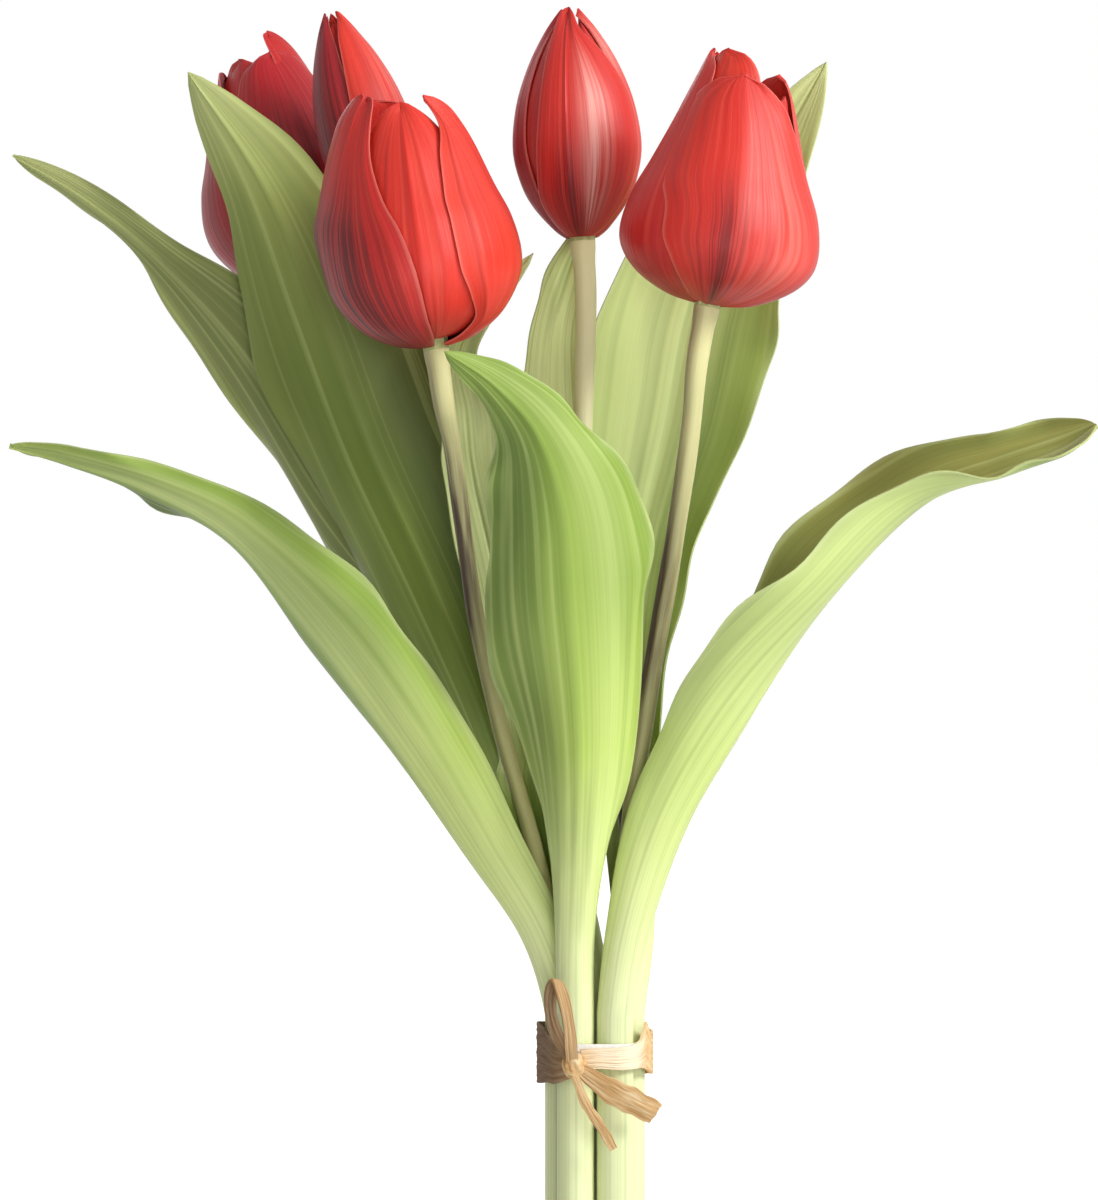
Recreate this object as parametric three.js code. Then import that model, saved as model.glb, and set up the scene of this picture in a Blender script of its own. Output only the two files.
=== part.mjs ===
import * as THREE from "three";

// A bunch of five artificial tulips held by a raffia tie: three open blooms and two closed buds.
// Millimetres, +Z up. The bunch is seen from -Y, and the cut ends of its stalks stand on Z = 0
// round the origin.

// The bunch: how far it is fanned out
const bunchWidth = 265; // across the tips of the leaves
const drawnWidth = 265; // the width that the table of tulips below was drawn for

// Stems: a moulded skin over a steel wire
const wireRadius = 1.0;
const wireGap = 0.6; // wire to its bores in the skin and in the flower's core
const stemRadius = 2.8;
const pegLength = 13; // wire that stands out of the stem, up into the core
const neckStraight = 14; // straight end of the stem below the flower
const stemRise = 3; // the stem stays straight this far above its stalk's straight part
const stemSteps = 11; // above the stalk
const stemSides = 8;
const wireSides = 6;

// Stalks: the rolled feet of the main leaves, side by side in a ring of five
const sheathGap = 0.5; // stem to the leaf rolled round it
const sheathWall = 1.4;
const sheathRoll = 164; // half of the roll in degrees; the rest is the open seam
const stalkGap = 0.4; // between neighbouring stalks
const straightHeight = 138; // the stalks are straight from the cut ends up to here
const stalkCount = 5;
const firstStalkAngle = -126; // polar angle of the stalk at the front left
const mouthSteer = 14; // straight length that steers a leaf as it leaves its stalk

// Leaves
const bladeThickness = 1.2;
const marginThickness = 0.7;
const claspWall = 1.0; // foot of an upper leaf, round the bare stem
const claspDrop = 10; // part of that foot that runs along the stem
const claspSpread = 1.5; // radius of the foot where it leaves the stem, against the foot below
const claspOpening = 0.8; // its roll there, against the foot below
const leafColumns = 8;
const rowsPerSpan = 2;
const leafWaves = 3.5; // ripples along each margin
const rippleSkew = 1.7; // how far the ripples of the two margins are out of step, in radians
const rippleStart = 0.2; // shares of the leaf's length where the ripple starts and is full
const rippleFull = 0.55;

// Flower heads
const bloomHeight = 63;
const bloomRadius = 24.4;
const budHeight = 58.5;
const budRadius = 16.4;
const backBudRadius = 12.6;
const petalThickness = 1.0;
const whorlGap = 0.9; // between the outer and the inner petals
const petalMargin = 2.5; // half of the least angle between the petals of a whorl
const petalWidest = 0.3; // share of its length up to which a petal keeps that angle
const petalTaper = 0.8; // how roundly it narrows above
const petalClose = 0.45; // share of a half turn that the narrowing follows
const petalRows = 6;
const petalColumns = 5;
const petalsPerWhorl = 3;
const neckRadius = 3.2;
const bloomCoreRadius = 7.5;
const budCoreRadius = 3.4;
const coreHeight = 19;
const seatGap = 0.3; // between pieces that rest on each other
const coreDome = [[0.92, 0.65], [0.55, 0.94]]; // radius and height shares of the core's dome
const coreSides = 8;

// Tie
const tieDrop = 10; // the tie's middle lies this far below the top of the straight stalks
const elasticRise = 2.5; // the elastic band's middle lies this far above the tie's
const elasticWidth = 3;
const elasticThickness = 0.8;
const raffiaThickness = 0.6;
const raffiaWidth = 15.5; // at the back and sides
const raffiaGathered = 6; // where it runs into the knot
const raffiaOpening = 4; // half of the gap behind the knot, in degrees
const raffiaGather = 0.4; // share of each half turn over which it widens
const stripRoll = 14; // half of the curl across the loose strips, in degrees
const stripColumns = 2;
const knotAngle = -109;
const knotDrop = 1; // the knot sits this far below the middle of the tie
const knotSize = [7, 5, 6.5];
const bandSteps = 32;

// Sizes that follow from these
const fan = bunchWidth / drawnWidth;
const boreRadius = wireRadius + wireGap;
const sheathRadius = stemRadius + sheathGap + sheathWall / 2;
const stalkRadius = sheathRadius + sheathWall / 2;
const bunchRadius = (2 * stalkRadius + stalkGap) / (2 * Math.sin(Math.PI / stalkCount));
const tieHeight = straightHeight - tieDrop;
const elasticHeight = tieHeight + elasticRise;
const petalSpread = 180 / petalsPerWhorl - petalMargin; // half of a petal's widest angle
const claspRadius = stemRadius + sheathGap + claspWall / 2;
const domeSeat = 2 * seatGap + 2.5 * petalThickness + whorlGap; // above the feet of both whorls

// Height fractions and radius fractions of the outer petals, from the base up
const bloomProfile = [
  [0.43, 0.045], [0.72, 0.115], [0.93, 0.225], [1.0, 0.335], [0.95, 0.475],
  [0.83, 0.6], [0.675, 0.77], [0.51, 0.91], [0.39, 1.0],
];
const coneProfile = [
  [0.45, 0.04], [0.76, 0.1], [0.95, 0.18], [1.0, 0.27], [0.94, 0.4],
  [0.81, 0.53], [0.66, 0.69], [0.53, 0.84], [0.4, 1.0],
];
const budProfile = [
  [0.4, 0.075], [0.73, 0.18], [0.9, 0.275], [1.0, 0.43],
  [0.91, 0.61], [0.67, 0.78], [0.38, 0.91], [0.16, 1.0],
];
const bloom = {
  height: bloomHeight,
  radius: bloomRadius,
  core: bloomCoreRadius,
  profile: bloomProfile,
  innerReach: 1, // share of the outer petals' length that the inner petals reach
};
const coneBloom = { ...bloom, profile: coneProfile };
const bud = {
  height: budHeight,
  radius: budRadius,
  core: budCoreRadius,
  profile: budProfile,
  innerReach: 0.93,
};
const slimBud = { ...bud, radius: backBudRadius };

// The five tulips. Places are measured from the axis of the tulip's stalk at the straight height.
// stem: points up to the flower's base; lean: direction of the flower; turn: first outer petal,
// in degrees from the front. A leaf runs along its midrib through stations: at, the place; face,
// the direction of its inner side; half, half its flat width; roll, half its roll in degrees.
// A main leaf starts as the stalk, with its midrib towards "back"; an upper leaf clasps the stem.
const tulips = [
  {
    name: "left_bloom",
    place: 4,
    head: bloom,
    turn: -60,
    lean: [-9, -3, 62.7],
    stem: [[-2.9, -0.9, 24], [-8.8, -4.5, 48], [-15.8, -9.5, 73], [-21.5, -15.5, 99], [-27.6, -23.5, 143]],
    flower: [-31.2, -28.5, 165.2],
    leaves: [
      {
        name: "leaf",
        back: [-1, -0.5, 0],
        ripple: 1.6,
        stations: [
          { at: [-9.4, -4.3, 19.5], face: [0.8, 0.5, 0.25], half: 12, roll: 120 },
          { at: [-22, -9.5, 40], face: [0.65, 0.55, 0.5], half: 14.5, roll: 82 },
          { at: [-39.8, -15.5, 67.5], face: [0.62, 0.55, 0.55], half: 19, roll: 66 },
          { at: [-60, -19.5, 95], face: [0.6, 0.55, 0.55], half: 21.5, roll: 58 },
          { at: [-80.8, -22, 119.2], face: [0.5, 0.5, 0.7], half: 13.4, roll: 50 },
          { at: [-102, -23.5, 131.5], face: [0.3, 0.5, 0.8], half: 8.2, roll: 42 },
          { at: [-121.5, -24.5, 138.2], face: [0.2, 0.5, 0.85], half: 5.5, roll: 36 },
          { at: [-136, -25.5, 142], face: [0.2, 0.5, 0.85], half: 1.2, roll: 30 },
        ],
      },
      {
        name: "upper_leaf",
        rise: 36,
        clasp: 92,
        back: [0.25, 1, 0.21],
        ripple: 1,
        stations: [
          { at: [-11.5, 6, 66], face: [-0.2, -1, 0], half: 10, roll: 58 },
          { at: [-19, 5.5, 102], face: [-0.15, -1, 0], half: 12, roll: 40 },
          { at: [-27, 2.5, 134], face: [-0.1, -1, 0.1], half: 9.5, roll: 34 },
          { at: [-28, -1.5, 150], face: [0.1, -1, 0.2], half: 9.4, roll: 32 },
          { at: [-25.5, -4.5, 168], face: [0.2, -0.9, 0.4], half: 4.8, roll: 30 },
          { at: [-7.6, -11.5, 190], face: [0.3, -0.9, 0.4], half: 1.2, roll: 26 },
        ],
      },
    ],
  },
  {
    name: "right_bloom",
    place: 1,
    head: coneBloom,
    turn: 12,
    lean: [10.8, -2, 62],
    stem: [[2.4, -1.5, 25], [4.4, -3.4, 54], [8.4, -6.4, 82], [13.8, -9.4, 114], [18.5, -13.4, 146]],
    flower: [22.3, -17.4, 175.7],
    leaves: [
      {
        name: "leaf",
        back: [1, -0.55, 0],
        ripple: 1.8,
        stations: [
          { at: [7.2, -4.6, 22], face: [-0.75, 0.6, 0.2], half: 12.2, roll: 131 },
          { at: [16.5, -7.5, 49], face: [-0.65, 0.5, 0.45], half: 15.8, roll: 98 },
          { at: [31.5, -11.5, 74.5], face: [-0.68, 0.35, 0.6], half: 21, roll: 86 },
          { at: [51, -15.5, 103.5], face: [-0.68, -0.16, 0.7], half: 25.5, roll: 84 },
          { at: [74, -18.5, 127.3], face: [-0.5, -0.2, 0.85], half: 19, roll: 72 },
          { at: [94, -20.5, 136.3], face: [-0.3, -0.5, 0.8], half: 11.4, roll: 54 },
          { at: [108.5, -23, 141.5], face: [-0.2, -0.6, 0.8], half: 9.2, roll: 38 },
          { at: [117.2, -25.5, 146.6], face: [-0.2, -0.6, 0.8], half: 2.4, roll: 30 },
        ],
      },
    ],
  },
  {
    name: "centre_bud",
    place: 0,
    head: bud,
    turn: -5,
    lean: [-3.3, 1, 58.9],
    stem: [[0.3, 1.6, 42], [1, 6.6, 91], [1.8, 12.6, 142]],
    flower: [1.9, 18.6, 194.3],
    leaves: [
      {
        name: "leaf",
        back: [-0.1, -1, 0],
        ripple: 1.2,
        stations: [
          { at: [-0.4, -5.8, 20], face: [0.05, 1, 0.2], half: 11, roll: 136 },
          { at: [0.2, -14.4, 42.4], face: [0.05, 1, 0.25], half: 11.8, roll: 90 },
          { at: [0.5, -21.4, 69.7], face: [0.02, 1, 0.25], half: 16.5, roll: 50 },
          { at: [-1.8, -29.4, 101.6], face: [-0.05, 1, 0.25], half: 21.4, roll: 34 },
          { at: [-4, -36.4, 126.5], face: [0, 1, 0.25], half: 19.3, roll: 32 },
          { at: [-9.6, -42, 143.8], face: [0.1, 1, 0.2], half: 11.6, roll: 32 },
          { at: [-19.7, -45.8, 155.5], face: [0.1, 1, 0.1], half: 6, roll: 30 },
          { at: [-31.6, -48.8, 163.5], face: [0.1, 1, 0.1], half: 1.2, roll: 26 },
        ],
      },
      {
        name: "upper_leaf",
        rise: 58,
        clasp: 86,
        back: [0, 1, -0.1],
        ripple: 1,
        stations: [
          { at: [0.4, 14, 108], face: [0, -1, 0.1], half: 9, roll: 42 },
          { at: [-5.5, 17.5, 138], face: [0.1, -1, 0.1], half: 9.2, roll: 34 },
          { at: [-6.4, 23.5, 168], face: [0.4, -1, 0], half: 7.5, roll: 32 },
          { at: [-2, 28, 187], face: [0.4, -1, 0], half: 5.5, roll: 30 },
          { at: [4.6, 31.5, 203], face: [0.4, -1, 0], half: 1.2, roll: 26 },
        ],
      },
    ],
  },
  {
    name: "back_bloom",
    place: 3,
    head: bloom,
    turn: 20,
    lean: [-15, 4, 62],
    stem: [[-3.4, 3, 22], [-9, 8.2, 42], [-25, 21, 78.5], [-44.7, 36, 119.5], [-60.6, 48, 156]],
    flower: [-73.5, 57.8, 185.7],
    leaves: [
      {
        name: "leaf",
        back: [-1, -0.35, 0],
        ripple: 1.5,
        stations: [
          { at: [-8, 0.8, 21], face: [0.8, 0.5, 0.2], half: 11.5, roll: 130 },
          { at: [-18.5, 3.5, 48.4], face: [0.6, 0.8, 0.3], half: 14, roll: 76 },
          { at: [-28.9, 5, 78.7], face: [0.4, 0.9, 0.25], half: 18, roll: 46 },
          { at: [-41.5, 4.4, 109], face: [0.3, 0.95, 0.2], half: 20.5, roll: 36 },
          { at: [-56.6, 2.8, 141.8], face: [0.25, 0.95, 0.1], half: 21, roll: 32 },
          { at: [-69.8, 0.2, 177], face: [0.2, 0.95, 0.1], half: 20.5, roll: 30 },
          { at: [-83.6, -1.8, 209], face: [0.2, 0.95, 0.1], half: 13.2, roll: 28 },
          { at: [-102, -3.2, 236.5], face: [0.2, 0.95, 0.1], half: 2.2, roll: 24 },
        ],
      },
      {
        name: "upper_leaf",
        rise: 40,
        clasp: 80,
        back: [-0.8, -0.55, -0.16],
        ripple: 1.5,
        stations: [
          { at: [-29.5, 14, 70], face: [0.5, 0.8, 0.3], half: 11, roll: 52 },
          { at: [-47.5, 17, 103.4], face: [0.4, 0.85, 0.35], half: 11.8, roll: 40 },
          { at: [-66.8, 17.5, 133.6], face: [0.4, 0.85, 0.35], half: 18.2, roll: 34 },
          { at: [-88.5, 15, 167.5], face: [0.4, 0.85, 0.35], half: 15, roll: 32 },
          { at: [-110, 13, 190.6], face: [0.3, 0.85, 0.4], half: 6.6, roll: 30 },
          { at: [-130.3, 12, 206.8], face: [0.3, 0.85, 0.4], half: 4.2, roll: 28 },
          { at: [-147.5, 12, 217], face: [0.3, 0.85, 0.4], half: 1.2, roll: 24 },
        ],
      },
    ],
  },
  {
    name: "back_bud",
    place: 2,
    head: slimBud,
    turn: 55,
    lean: [-16.2, 3, 56],
    stem: [[1.2, 1.3, 22], [0.8, 4, 42], [-3.5, 13, 83.8], [-20.3, 19, 126.8], [-38.8, 23.5, 162]],
    flower: [-59.1, 28, 198],
    leaves: [
      {
        name: "leaf",
        back: [1, 0.4, 0],
        ripple: 1.5,
        stations: [
          { at: [6.3, 3.6, 21], face: [-1, -0.5, 0.2], half: 11.5, roll: 130 },
          { at: [5.6, 13, 48.5], face: [-0.6, -0.9, 0.2], half: 11, roll: 80 },
          { at: [2, 21, 84], face: [-0.3, -1, 0.15], half: 10.5, roll: 50 },
          { at: [4, 25, 116], face: [-0.2, -1, 0.1], half: 15, roll: 38 },
          { at: [11.5, 26.5, 149.8], face: [-0.1, -1, 0], half: 22, roll: 32 },
          { at: [18.8, 26, 183], face: [-0.1, -1, 0], half: 22.3, roll: 30 },
          { at: [37.2, 22, 215.7], face: [-0.1, -1, 0], half: 11, roll: 28 },
          { at: [51, 17, 240.5], face: [-0.1, -1, 0], half: 1.6, roll: 24 },
        ],
      },
    ],
  },
];

const radians = THREE.MathUtils.degToRad;
const vector = (list) => new THREE.Vector3(...list);
const fanned = ([x, y, z]) => new THREE.Vector3(x * fan, y * fan, z);
const sheetThrough = (points) => new THREE.CatmullRomCurve3(points, false, "catmullrom", 0.5);

const finishes = {
  petal: { color: 0xd8352c, roughness: 0.45, metalness: 0 },
  leaf: { color: 0x8fae55, roughness: 0.5, metalness: 0 },
  stem: { color: 0x9b9558, roughness: 0.5, metalness: 0 },
  core: { color: 0xc9d08a, roughness: 0.6, metalness: 0 },
  wire: { color: 0x8c8f94, roughness: 0.4, metalness: 1 },
  raffia: { color: 0xb98d5c, roughness: 0.8, metalness: 0 },
  elastic: { color: 0xe8e6df, roughness: 0.5, metalness: 0 },
};

function piece(name, geometry, finish) {
  const mesh = new THREE.Mesh(geometry, new THREE.MeshStandardMaterial(finishes[finish]));
  mesh.name = name;
  return mesh;
}

// Six times the volume inside a closed triangle mesh, negative if its faces point inwards.
function signedVolume(points, triangles) {
  const cross = new THREE.Vector3();
  let sum = 0;
  for (const [a, b, c] of triangles) {
    sum += points[a].dot(cross.crossVectors(points[b], points[c]));
  }
  return sum;
}

function closedGeometry(points, triangles) {
  const outward = signedVolume(points, triangles) > 0;
  const order = triangles.map(([a, b, c]) => (outward ? [a, b, c] : [a, c, b]));
  const geometry = new THREE.BufferGeometry().setFromPoints(points);
  geometry.setIndex(order.flat());
  geometry.computeVertexNormals();
  return geometry;
}

// A closed sheet between two grids of points, joined along its rim. A looped sheet joins its
// last row to its first, as a band does.
function sheetGeometry(front, back, looped = false) {
  const rows = front.length;
  const columns = front[0].length;
  const points = [...front.flat(), ...back.flat()];
  const at = (side, row, column) => side * rows * columns + (row % rows) * columns + column;
  const triangles = [];
  const quad = (a, b, c, d) => triangles.push([a, b, c], [a, c, d]);
  const spans = looped ? rows : rows - 1;
  const last = columns - 1;
  for (let row = 0; row < spans; row++) {
    for (let column = 0; column < last; column++) {
      quad(at(0, row, column), at(0, row, column + 1), at(0, row + 1, column + 1), at(0, row + 1, column));
      quad(at(1, row, column), at(1, row + 1, column), at(1, row + 1, column + 1), at(1, row, column + 1));
    }
    quad(at(0, row, 0), at(0, row + 1, 0), at(1, row + 1, 0), at(1, row, 0));
    quad(at(0, row, last), at(1, row, last), at(1, row + 1, last), at(0, row + 1, last));
  }
  if (!looped) {
    for (let column = 0; column < last; column++) {
      quad(at(0, 0, column), at(1, 0, column), at(1, 0, column + 1), at(0, 0, column + 1));
      const end = rows - 1;
      quad(at(0, end, column), at(0, end, column + 1), at(1, end, column + 1), at(1, end, column));
    }
  }
  return closedGeometry(points, triangles);
}

// One cross-section of a rolled sheet: an arc of flat width 2 * half, rolled towards "inward".
function rolledRow(middle, tangent, inward, size, columns, lift) {
  const across = tangent.clone().cross(inward).normalize();
  const angle = radians(size.roll);
  const radius = size.half / angle;
  const inner = [];
  const outer = [];
  for (let column = 0; column <= columns; column++) {
    const share = (2 * column) / columns - 1;
    const turn = share * angle;
    const normal = inward.clone().multiplyScalar(Math.cos(turn)).addScaledVector(across, -Math.sin(turn));
    const centre = middle.clone()
      .addScaledVector(across, radius * Math.sin(turn))
      .addScaledVector(inward, radius * (1 - Math.cos(turn)))
      .addScaledVector(normal, lift(share));
    const thickness = THREE.MathUtils.lerp(size.wall, size.margin, share * share);
    inner.push(centre.clone().addScaledVector(normal, thickness / 2));
    outer.push(centre.addScaledVector(normal, -thickness / 2));
  }
  return { inner, outer };
}

// A sheet lofted along stations, from the station "first" on. The stations before it only steer it.
function loftedSheet(stations, first, perSpan, columns, ripple) {
  const spine = sheetThrough(stations.map((station) => station.at));
  const facing = sheetThrough(stations.map((station) => station.face.clone().normalize()));
  const sizes = sheetThrough(stations.map((station) => vector([station.half, station.roll, 0])));
  const walls = sheetThrough(stations.map((station) => vector([station.wall, station.margin, 0])));
  const spans = stations.length - 1;
  const rows = [];
  for (let step = 0; step <= (spans - first) * perSpan; step++) {
    const t = (first + step / perSpan) / spans;
    const tangent = spine.getTangent(t);
    const inward = facing.getPoint(t);
    inward.addScaledVector(tangent, -inward.dot(tangent)).normalize();
    const [half, roll] = sizes.getPoint(t).toArray();
    const [wall, margin] = walls.getPoint(t).toArray();
    const along = step / ((spans - first) * perSpan);
    const fade = THREE.MathUtils.smoothstep(along, rippleStart, rippleFull) * (1 - along ** 3);
    const lift = (share) =>
      ripple * fade * Math.abs(share) ** 3 * Math.sin(2 * Math.PI * leafWaves * along + rippleSkew * share);
    rows.push(rolledRow(spine.getPoint(t), tangent, inward, { half, roll, wall, margin }, columns, lift));
  }
  return rows;
}

const blade = { wall: bladeThickness, margin: marginThickness };

// The station where a leaf is rolled round a stem, with its midrib on the side named by "back".
function rolledStation(axisPoint, back, roll, radius, wall) {
  const outward = vector(back).normalize();
  return {
    at: axisPoint.clone().addScaledVector(outward, radius),
    face: outward.clone().negate(),
    half: radius * radians(roll),
    roll,
    wall,
    margin: wall,
  };
}

function bladeStations(leaf, mouth) {
  return leaf.stations.map((station) => ({
    ...station,
    ...blade,
    at: fanned(station.at).add(mouth),
    face: vector(station.face),
  }));
}

// A main leaf: the straight stalk from the cut end, opening into the blade.
function mainLeaf(leaf, mouth) {
  const cutEnd = new THREE.Vector3(mouth.x, mouth.y, 0);
  const foot = rolledStation(cutEnd, leaf.back, sheathRoll, sheathRadius, sheathWall);
  const top = rolledStation(mouth, leaf.back, sheathRoll, sheathRadius, sheathWall);
  const steer = { ...top, at: top.at.clone().setZ(mouth.z - mouthSteer) };
  const up = new THREE.Vector3(0, 0, 1);
  const flat = () => 0;
  const stations = [steer, top, ...bladeStations(leaf, mouth)];
  const rows = loftedSheet(stations, 1, rowsPerSpan, leafColumns, leaf.ripple);
  rows.shift();
  const straight = [foot, top].map((end) => rolledRow(end.at, up, end.face, end, leafColumns, flat));
  return [...straight, ...rows];
}

// An upper leaf: its foot clasps the bare stem at "rise" above the straight height.
function upperLeaf(leaf, mouth, route) {
  const clasp = (height, opening, spread) => {
    const axisPoint = pointAtHeight(route, mouth.z + height);
    return rolledStation(axisPoint, leaf.back, leaf.clasp * opening, claspRadius * spread, claspWall);
  };
  const foot = [
    clasp(leaf.rise - claspDrop, 1, 1),
    clasp(leaf.rise, 1, 1),
    clasp(leaf.rise + 2 * claspDrop, claspOpening, claspSpread),
  ];
  return loftedSheet([...foot, ...bladeStations(leaf, mouth)], 0, rowsPerSpan, leafColumns, leaf.ripple);
}

function leafGeometry(rows) {
  return sheetGeometry(rows.map((row) => row.inner), rows.map((row) => row.outer));
}

// The place on a rising route at one height, by halving.
function pointAtHeight(route, height) {
  let low = 0;
  let high = 1;
  for (let pass = 0; pass < 40; pass++) {
    const middle = (low + high) / 2;
    if (route.getPoint(middle).z < height) low = middle;
    else high = middle;
  }
  return route.getPoint(low);
}

// The axis of a stem, from its cut end to the flower's base.
function stemRoute(tulip, mouth) {
  const base = fanned(tulip.flower).add(mouth);
  const up = vector(tulip.lean).normalize();
  return new THREE.CatmullRomCurve3([
    mouth.clone().setZ(0),
    mouth.clone(),
    mouth.clone().setZ(mouth.z + stemRise),
    ...tulip.stem.map((place) => fanned(place).add(mouth)),
    base.clone().addScaledVector(up, -neckStraight),
    base,
  ]);
}

// Rings of points square to a route: one at the cut end, the others from the stalk's top upwards.
function ringsAlong(route, radius, sides) {
  const stalkShare = 1 / (route.points.length - 1);
  const shares = [0];
  for (let step = 0; step <= stemSteps; step++) {
    shares.push(THREE.MathUtils.lerp(stalkShare, 1, step / stemSteps));
  }
  return shares.map((share) => ringAt(route.getPoint(share), route.getTangent(share), radius, sides));
}

function ringAt(centre, tangent, radius, sides) {
  const side = new THREE.Vector3(1, 0, 0).addScaledVector(tangent, -tangent.x).normalize();
  const other = tangent.clone().cross(side);
  return Array.from({ length: sides }, (_, corner) => {
    const angle = (2 * Math.PI * corner) / sides;
    return centre.clone()
      .addScaledVector(side, radius * Math.cos(angle))
      .addScaledVector(other, radius * Math.sin(angle));
  });
}

const turned = (grid) => grid[0].map((_, column) => grid.map((row) => row[column]));

// The moulded skin of a stem, with the bore that the wire runs in.
function skinGeometry(route) {
  const skin = turned(ringsAlong(route, stemRadius, stemSides));
  const bore = turned(ringsAlong(route, boreRadius, stemSides));
  return sheetGeometry(skin, bore, true);
}

// The wire, which runs on past the stem as the peg of the flower.
function wireGeometry(route, tulip) {
  const up = vector(tulip.lean).normalize();
  const end = route.getPoint(1).addScaledVector(up, pegLength - seatGap);
  const rings = [...ringsAlong(route, wireRadius, wireSides), ringAt(end, up, wireRadius, wireSides)];
  const triangles = [];
  for (let ring = 0; ring < rings.length - 1; ring++) {
    for (let corner = 0; corner < wireSides; corner++) {
      const next = (corner + 1) % wireSides;
      const [low, high] = [ring * wireSides, (ring + 1) * wireSides];
      triangles.push([low + corner, low + next, high + next], [low + corner, high + next, high + corner]);
    }
  }
  const last = (rings.length - 1) * wireSides;
  for (let corner = 1; corner < wireSides - 1; corner++) {
    triangles.push([0, corner + 1, corner], [last, last + corner, last + corner + 1]);
  }
  return closedGeometry(rings.flat(), triangles);
}

// The receptacle: a neck on the end of the stem and a dome over the feet of the petals, with a
// blind bore for the wire.
function coreGeometry(radius) {
  const boreTop = pegLength + seatGap;
  const domeFoot = domeSeat + Math.max(radius, neckRadius) - neckRadius;
  const profile = [
    [0, boreTop],
    [boreRadius, boreTop],
    [boreRadius, seatGap],
    [neckRadius, seatGap],
    [neckRadius, domeSeat],
    [radius, domeFoot],
    ...coreDome.map(([r, h]) => [radius * r, coreHeight * h]),
    [0, coreHeight],
  ].map(([r, h]) => new THREE.Vector2(r, h));
  return new THREE.LatheGeometry(profile, coreSides).rotateX(Math.PI / 2);
}

// Half of the angle that a petal spans at a share of its length.
function petalHalfAngle(share) {
  const rest = Math.max(0, share - petalWidest) / (1 - petalWidest);
  return petalSpread * Math.cos(rest * petalClose * Math.PI) ** petalTaper;
}

// The meridian of a flower's petals; inset is how far it lies inside the outer whorl.
function petalMeridian(head, inset, reach) {
  const start = new THREE.Vector2(neckRadius + seatGap, seatGap + petalThickness);
  const shape = head.profile.map(([r, h]) => {
    return new THREE.Vector2(r * head.radius - petalThickness / 2, h * head.height);
  });
  const outer = new THREE.SplineCurve([start, ...shape]);
  const place = (share) => {
    const run = outer.getTangent(share);
    const outward = new THREE.Vector2(run.y, -run.x);
    return { point: outer.getPoint(share).addScaledVector(outward, -inset), outward };
  };
  const clearsNeck = ({ point, outward }) => point.x - (outward.x * petalThickness) / 2 > start.x;
  let low = 0;
  let high = 0.3;
  for (let pass = 0; pass < 30; pass++) {
    const middle = (low + high) / 2;
    if (clearsNeck(place(middle))) high = middle;
    else low = middle;
  }
  return (share) => place(THREE.MathUtils.lerp(high, reach, share));
}

// One petal, a curved sheet round the axis of the flower.
function petalGeometry(head, facing, whorl) {
  const meridian = petalMeridian(head, whorl.inset, whorl.reach);
  const front = [];
  const back = [];
  for (let row = 0; row <= petalRows; row++) {
    const share = row / petalRows;
    const { point, outward } = meridian(share);
    const half = radians(petalHalfAngle(share));
    const sheet = [petalThickness / 2, -petalThickness / 2].map((offset) => {
      const edge = point.clone().addScaledVector(outward, offset);
      return Array.from({ length: petalColumns + 1 }, (_, column) => {
        const angle = facing + half * ((2 * column) / petalColumns - 1);
        return new THREE.Vector3(edge.x * Math.cos(angle), edge.x * Math.sin(angle), edge.y);
      });
    });
    front.push(sheet[0]);
    back.push(sheet[1]);
  }
  return sheetGeometry(front, back);
}

function flowerHead(tulip, mouth) {
  const group = new THREE.Group();
  group.position.copy(fanned(tulip.flower).add(mouth));
  group.quaternion.setFromUnitVectors(new THREE.Vector3(0, 0, 1), vector(tulip.lean).normalize());
  group.add(piece(`${tulip.name}_core`, coreGeometry(tulip.head.core), "core"));
  const spacing = 360 / petalsPerWhorl;
  const whorls = [
    { kind: "outer", inset: 0, turn: 0, reach: 1 },
    { kind: "inner", inset: petalThickness + whorlGap, turn: spacing / 2, reach: tulip.head.innerReach },
  ];
  for (const whorl of whorls) {
    for (let petal = 0; petal < petalsPerWhorl; petal++) {
      const facing = radians(tulip.turn + whorl.turn + petal * spacing - 90);
      const name = `${tulip.name}_${whorl.kind}_petal_${petal + 1}`;
      group.add(piece(name, petalGeometry(tulip.head, facing, whorl), "petal"));
    }
  }
  return group;
}

const stalkPlaces = Array.from({ length: stalkCount }, (_, place) => {
  const angle = radians(firstStalkAngle + (360 / stalkCount) * place);
  return new THREE.Vector3(bunchRadius * Math.cos(angle), bunchRadius * Math.sin(angle), straightHeight);
});

function tulipGroup(tulip) {
  const mouth = stalkPlaces[tulip.place];
  const route = stemRoute(tulip, mouth);
  const group = new THREE.Group();
  group.add(piece(`${tulip.name}_stem`, skinGeometry(route), "stem"));
  group.add(piece(`${tulip.name}_wire`, wireGeometry(route, tulip), "wire"));
  for (const leaf of tulip.leaves) {
    const rows = leaf.rise ? upperLeaf(leaf, mouth, route) : mainLeaf(leaf, mouth);
    group.add(piece(`${tulip.name}_${leaf.name}`, leafGeometry(rows), "leaf"));
  }
  group.add(flowerHead(tulip, mouth));
  return group;
}

// Distance from the axis of the bunch to a band drawn tight round the stalks, at a polar angle.
function bandRadius(angle, clear) {
  let least = Infinity;
  for (let degrees = 0; degrees < 360; degrees += 4) {
    const normal = radians(degrees);
    const facing = Math.cos(angle - normal);
    if (facing < 0.3) continue;
    const reach = stalkPlaces.map((place) => place.x * Math.cos(normal) + place.y * Math.sin(normal));
    least = Math.min(least, (Math.max(...reach) + stalkRadius + clear) / facing);
  }
  return least;
}

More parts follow.
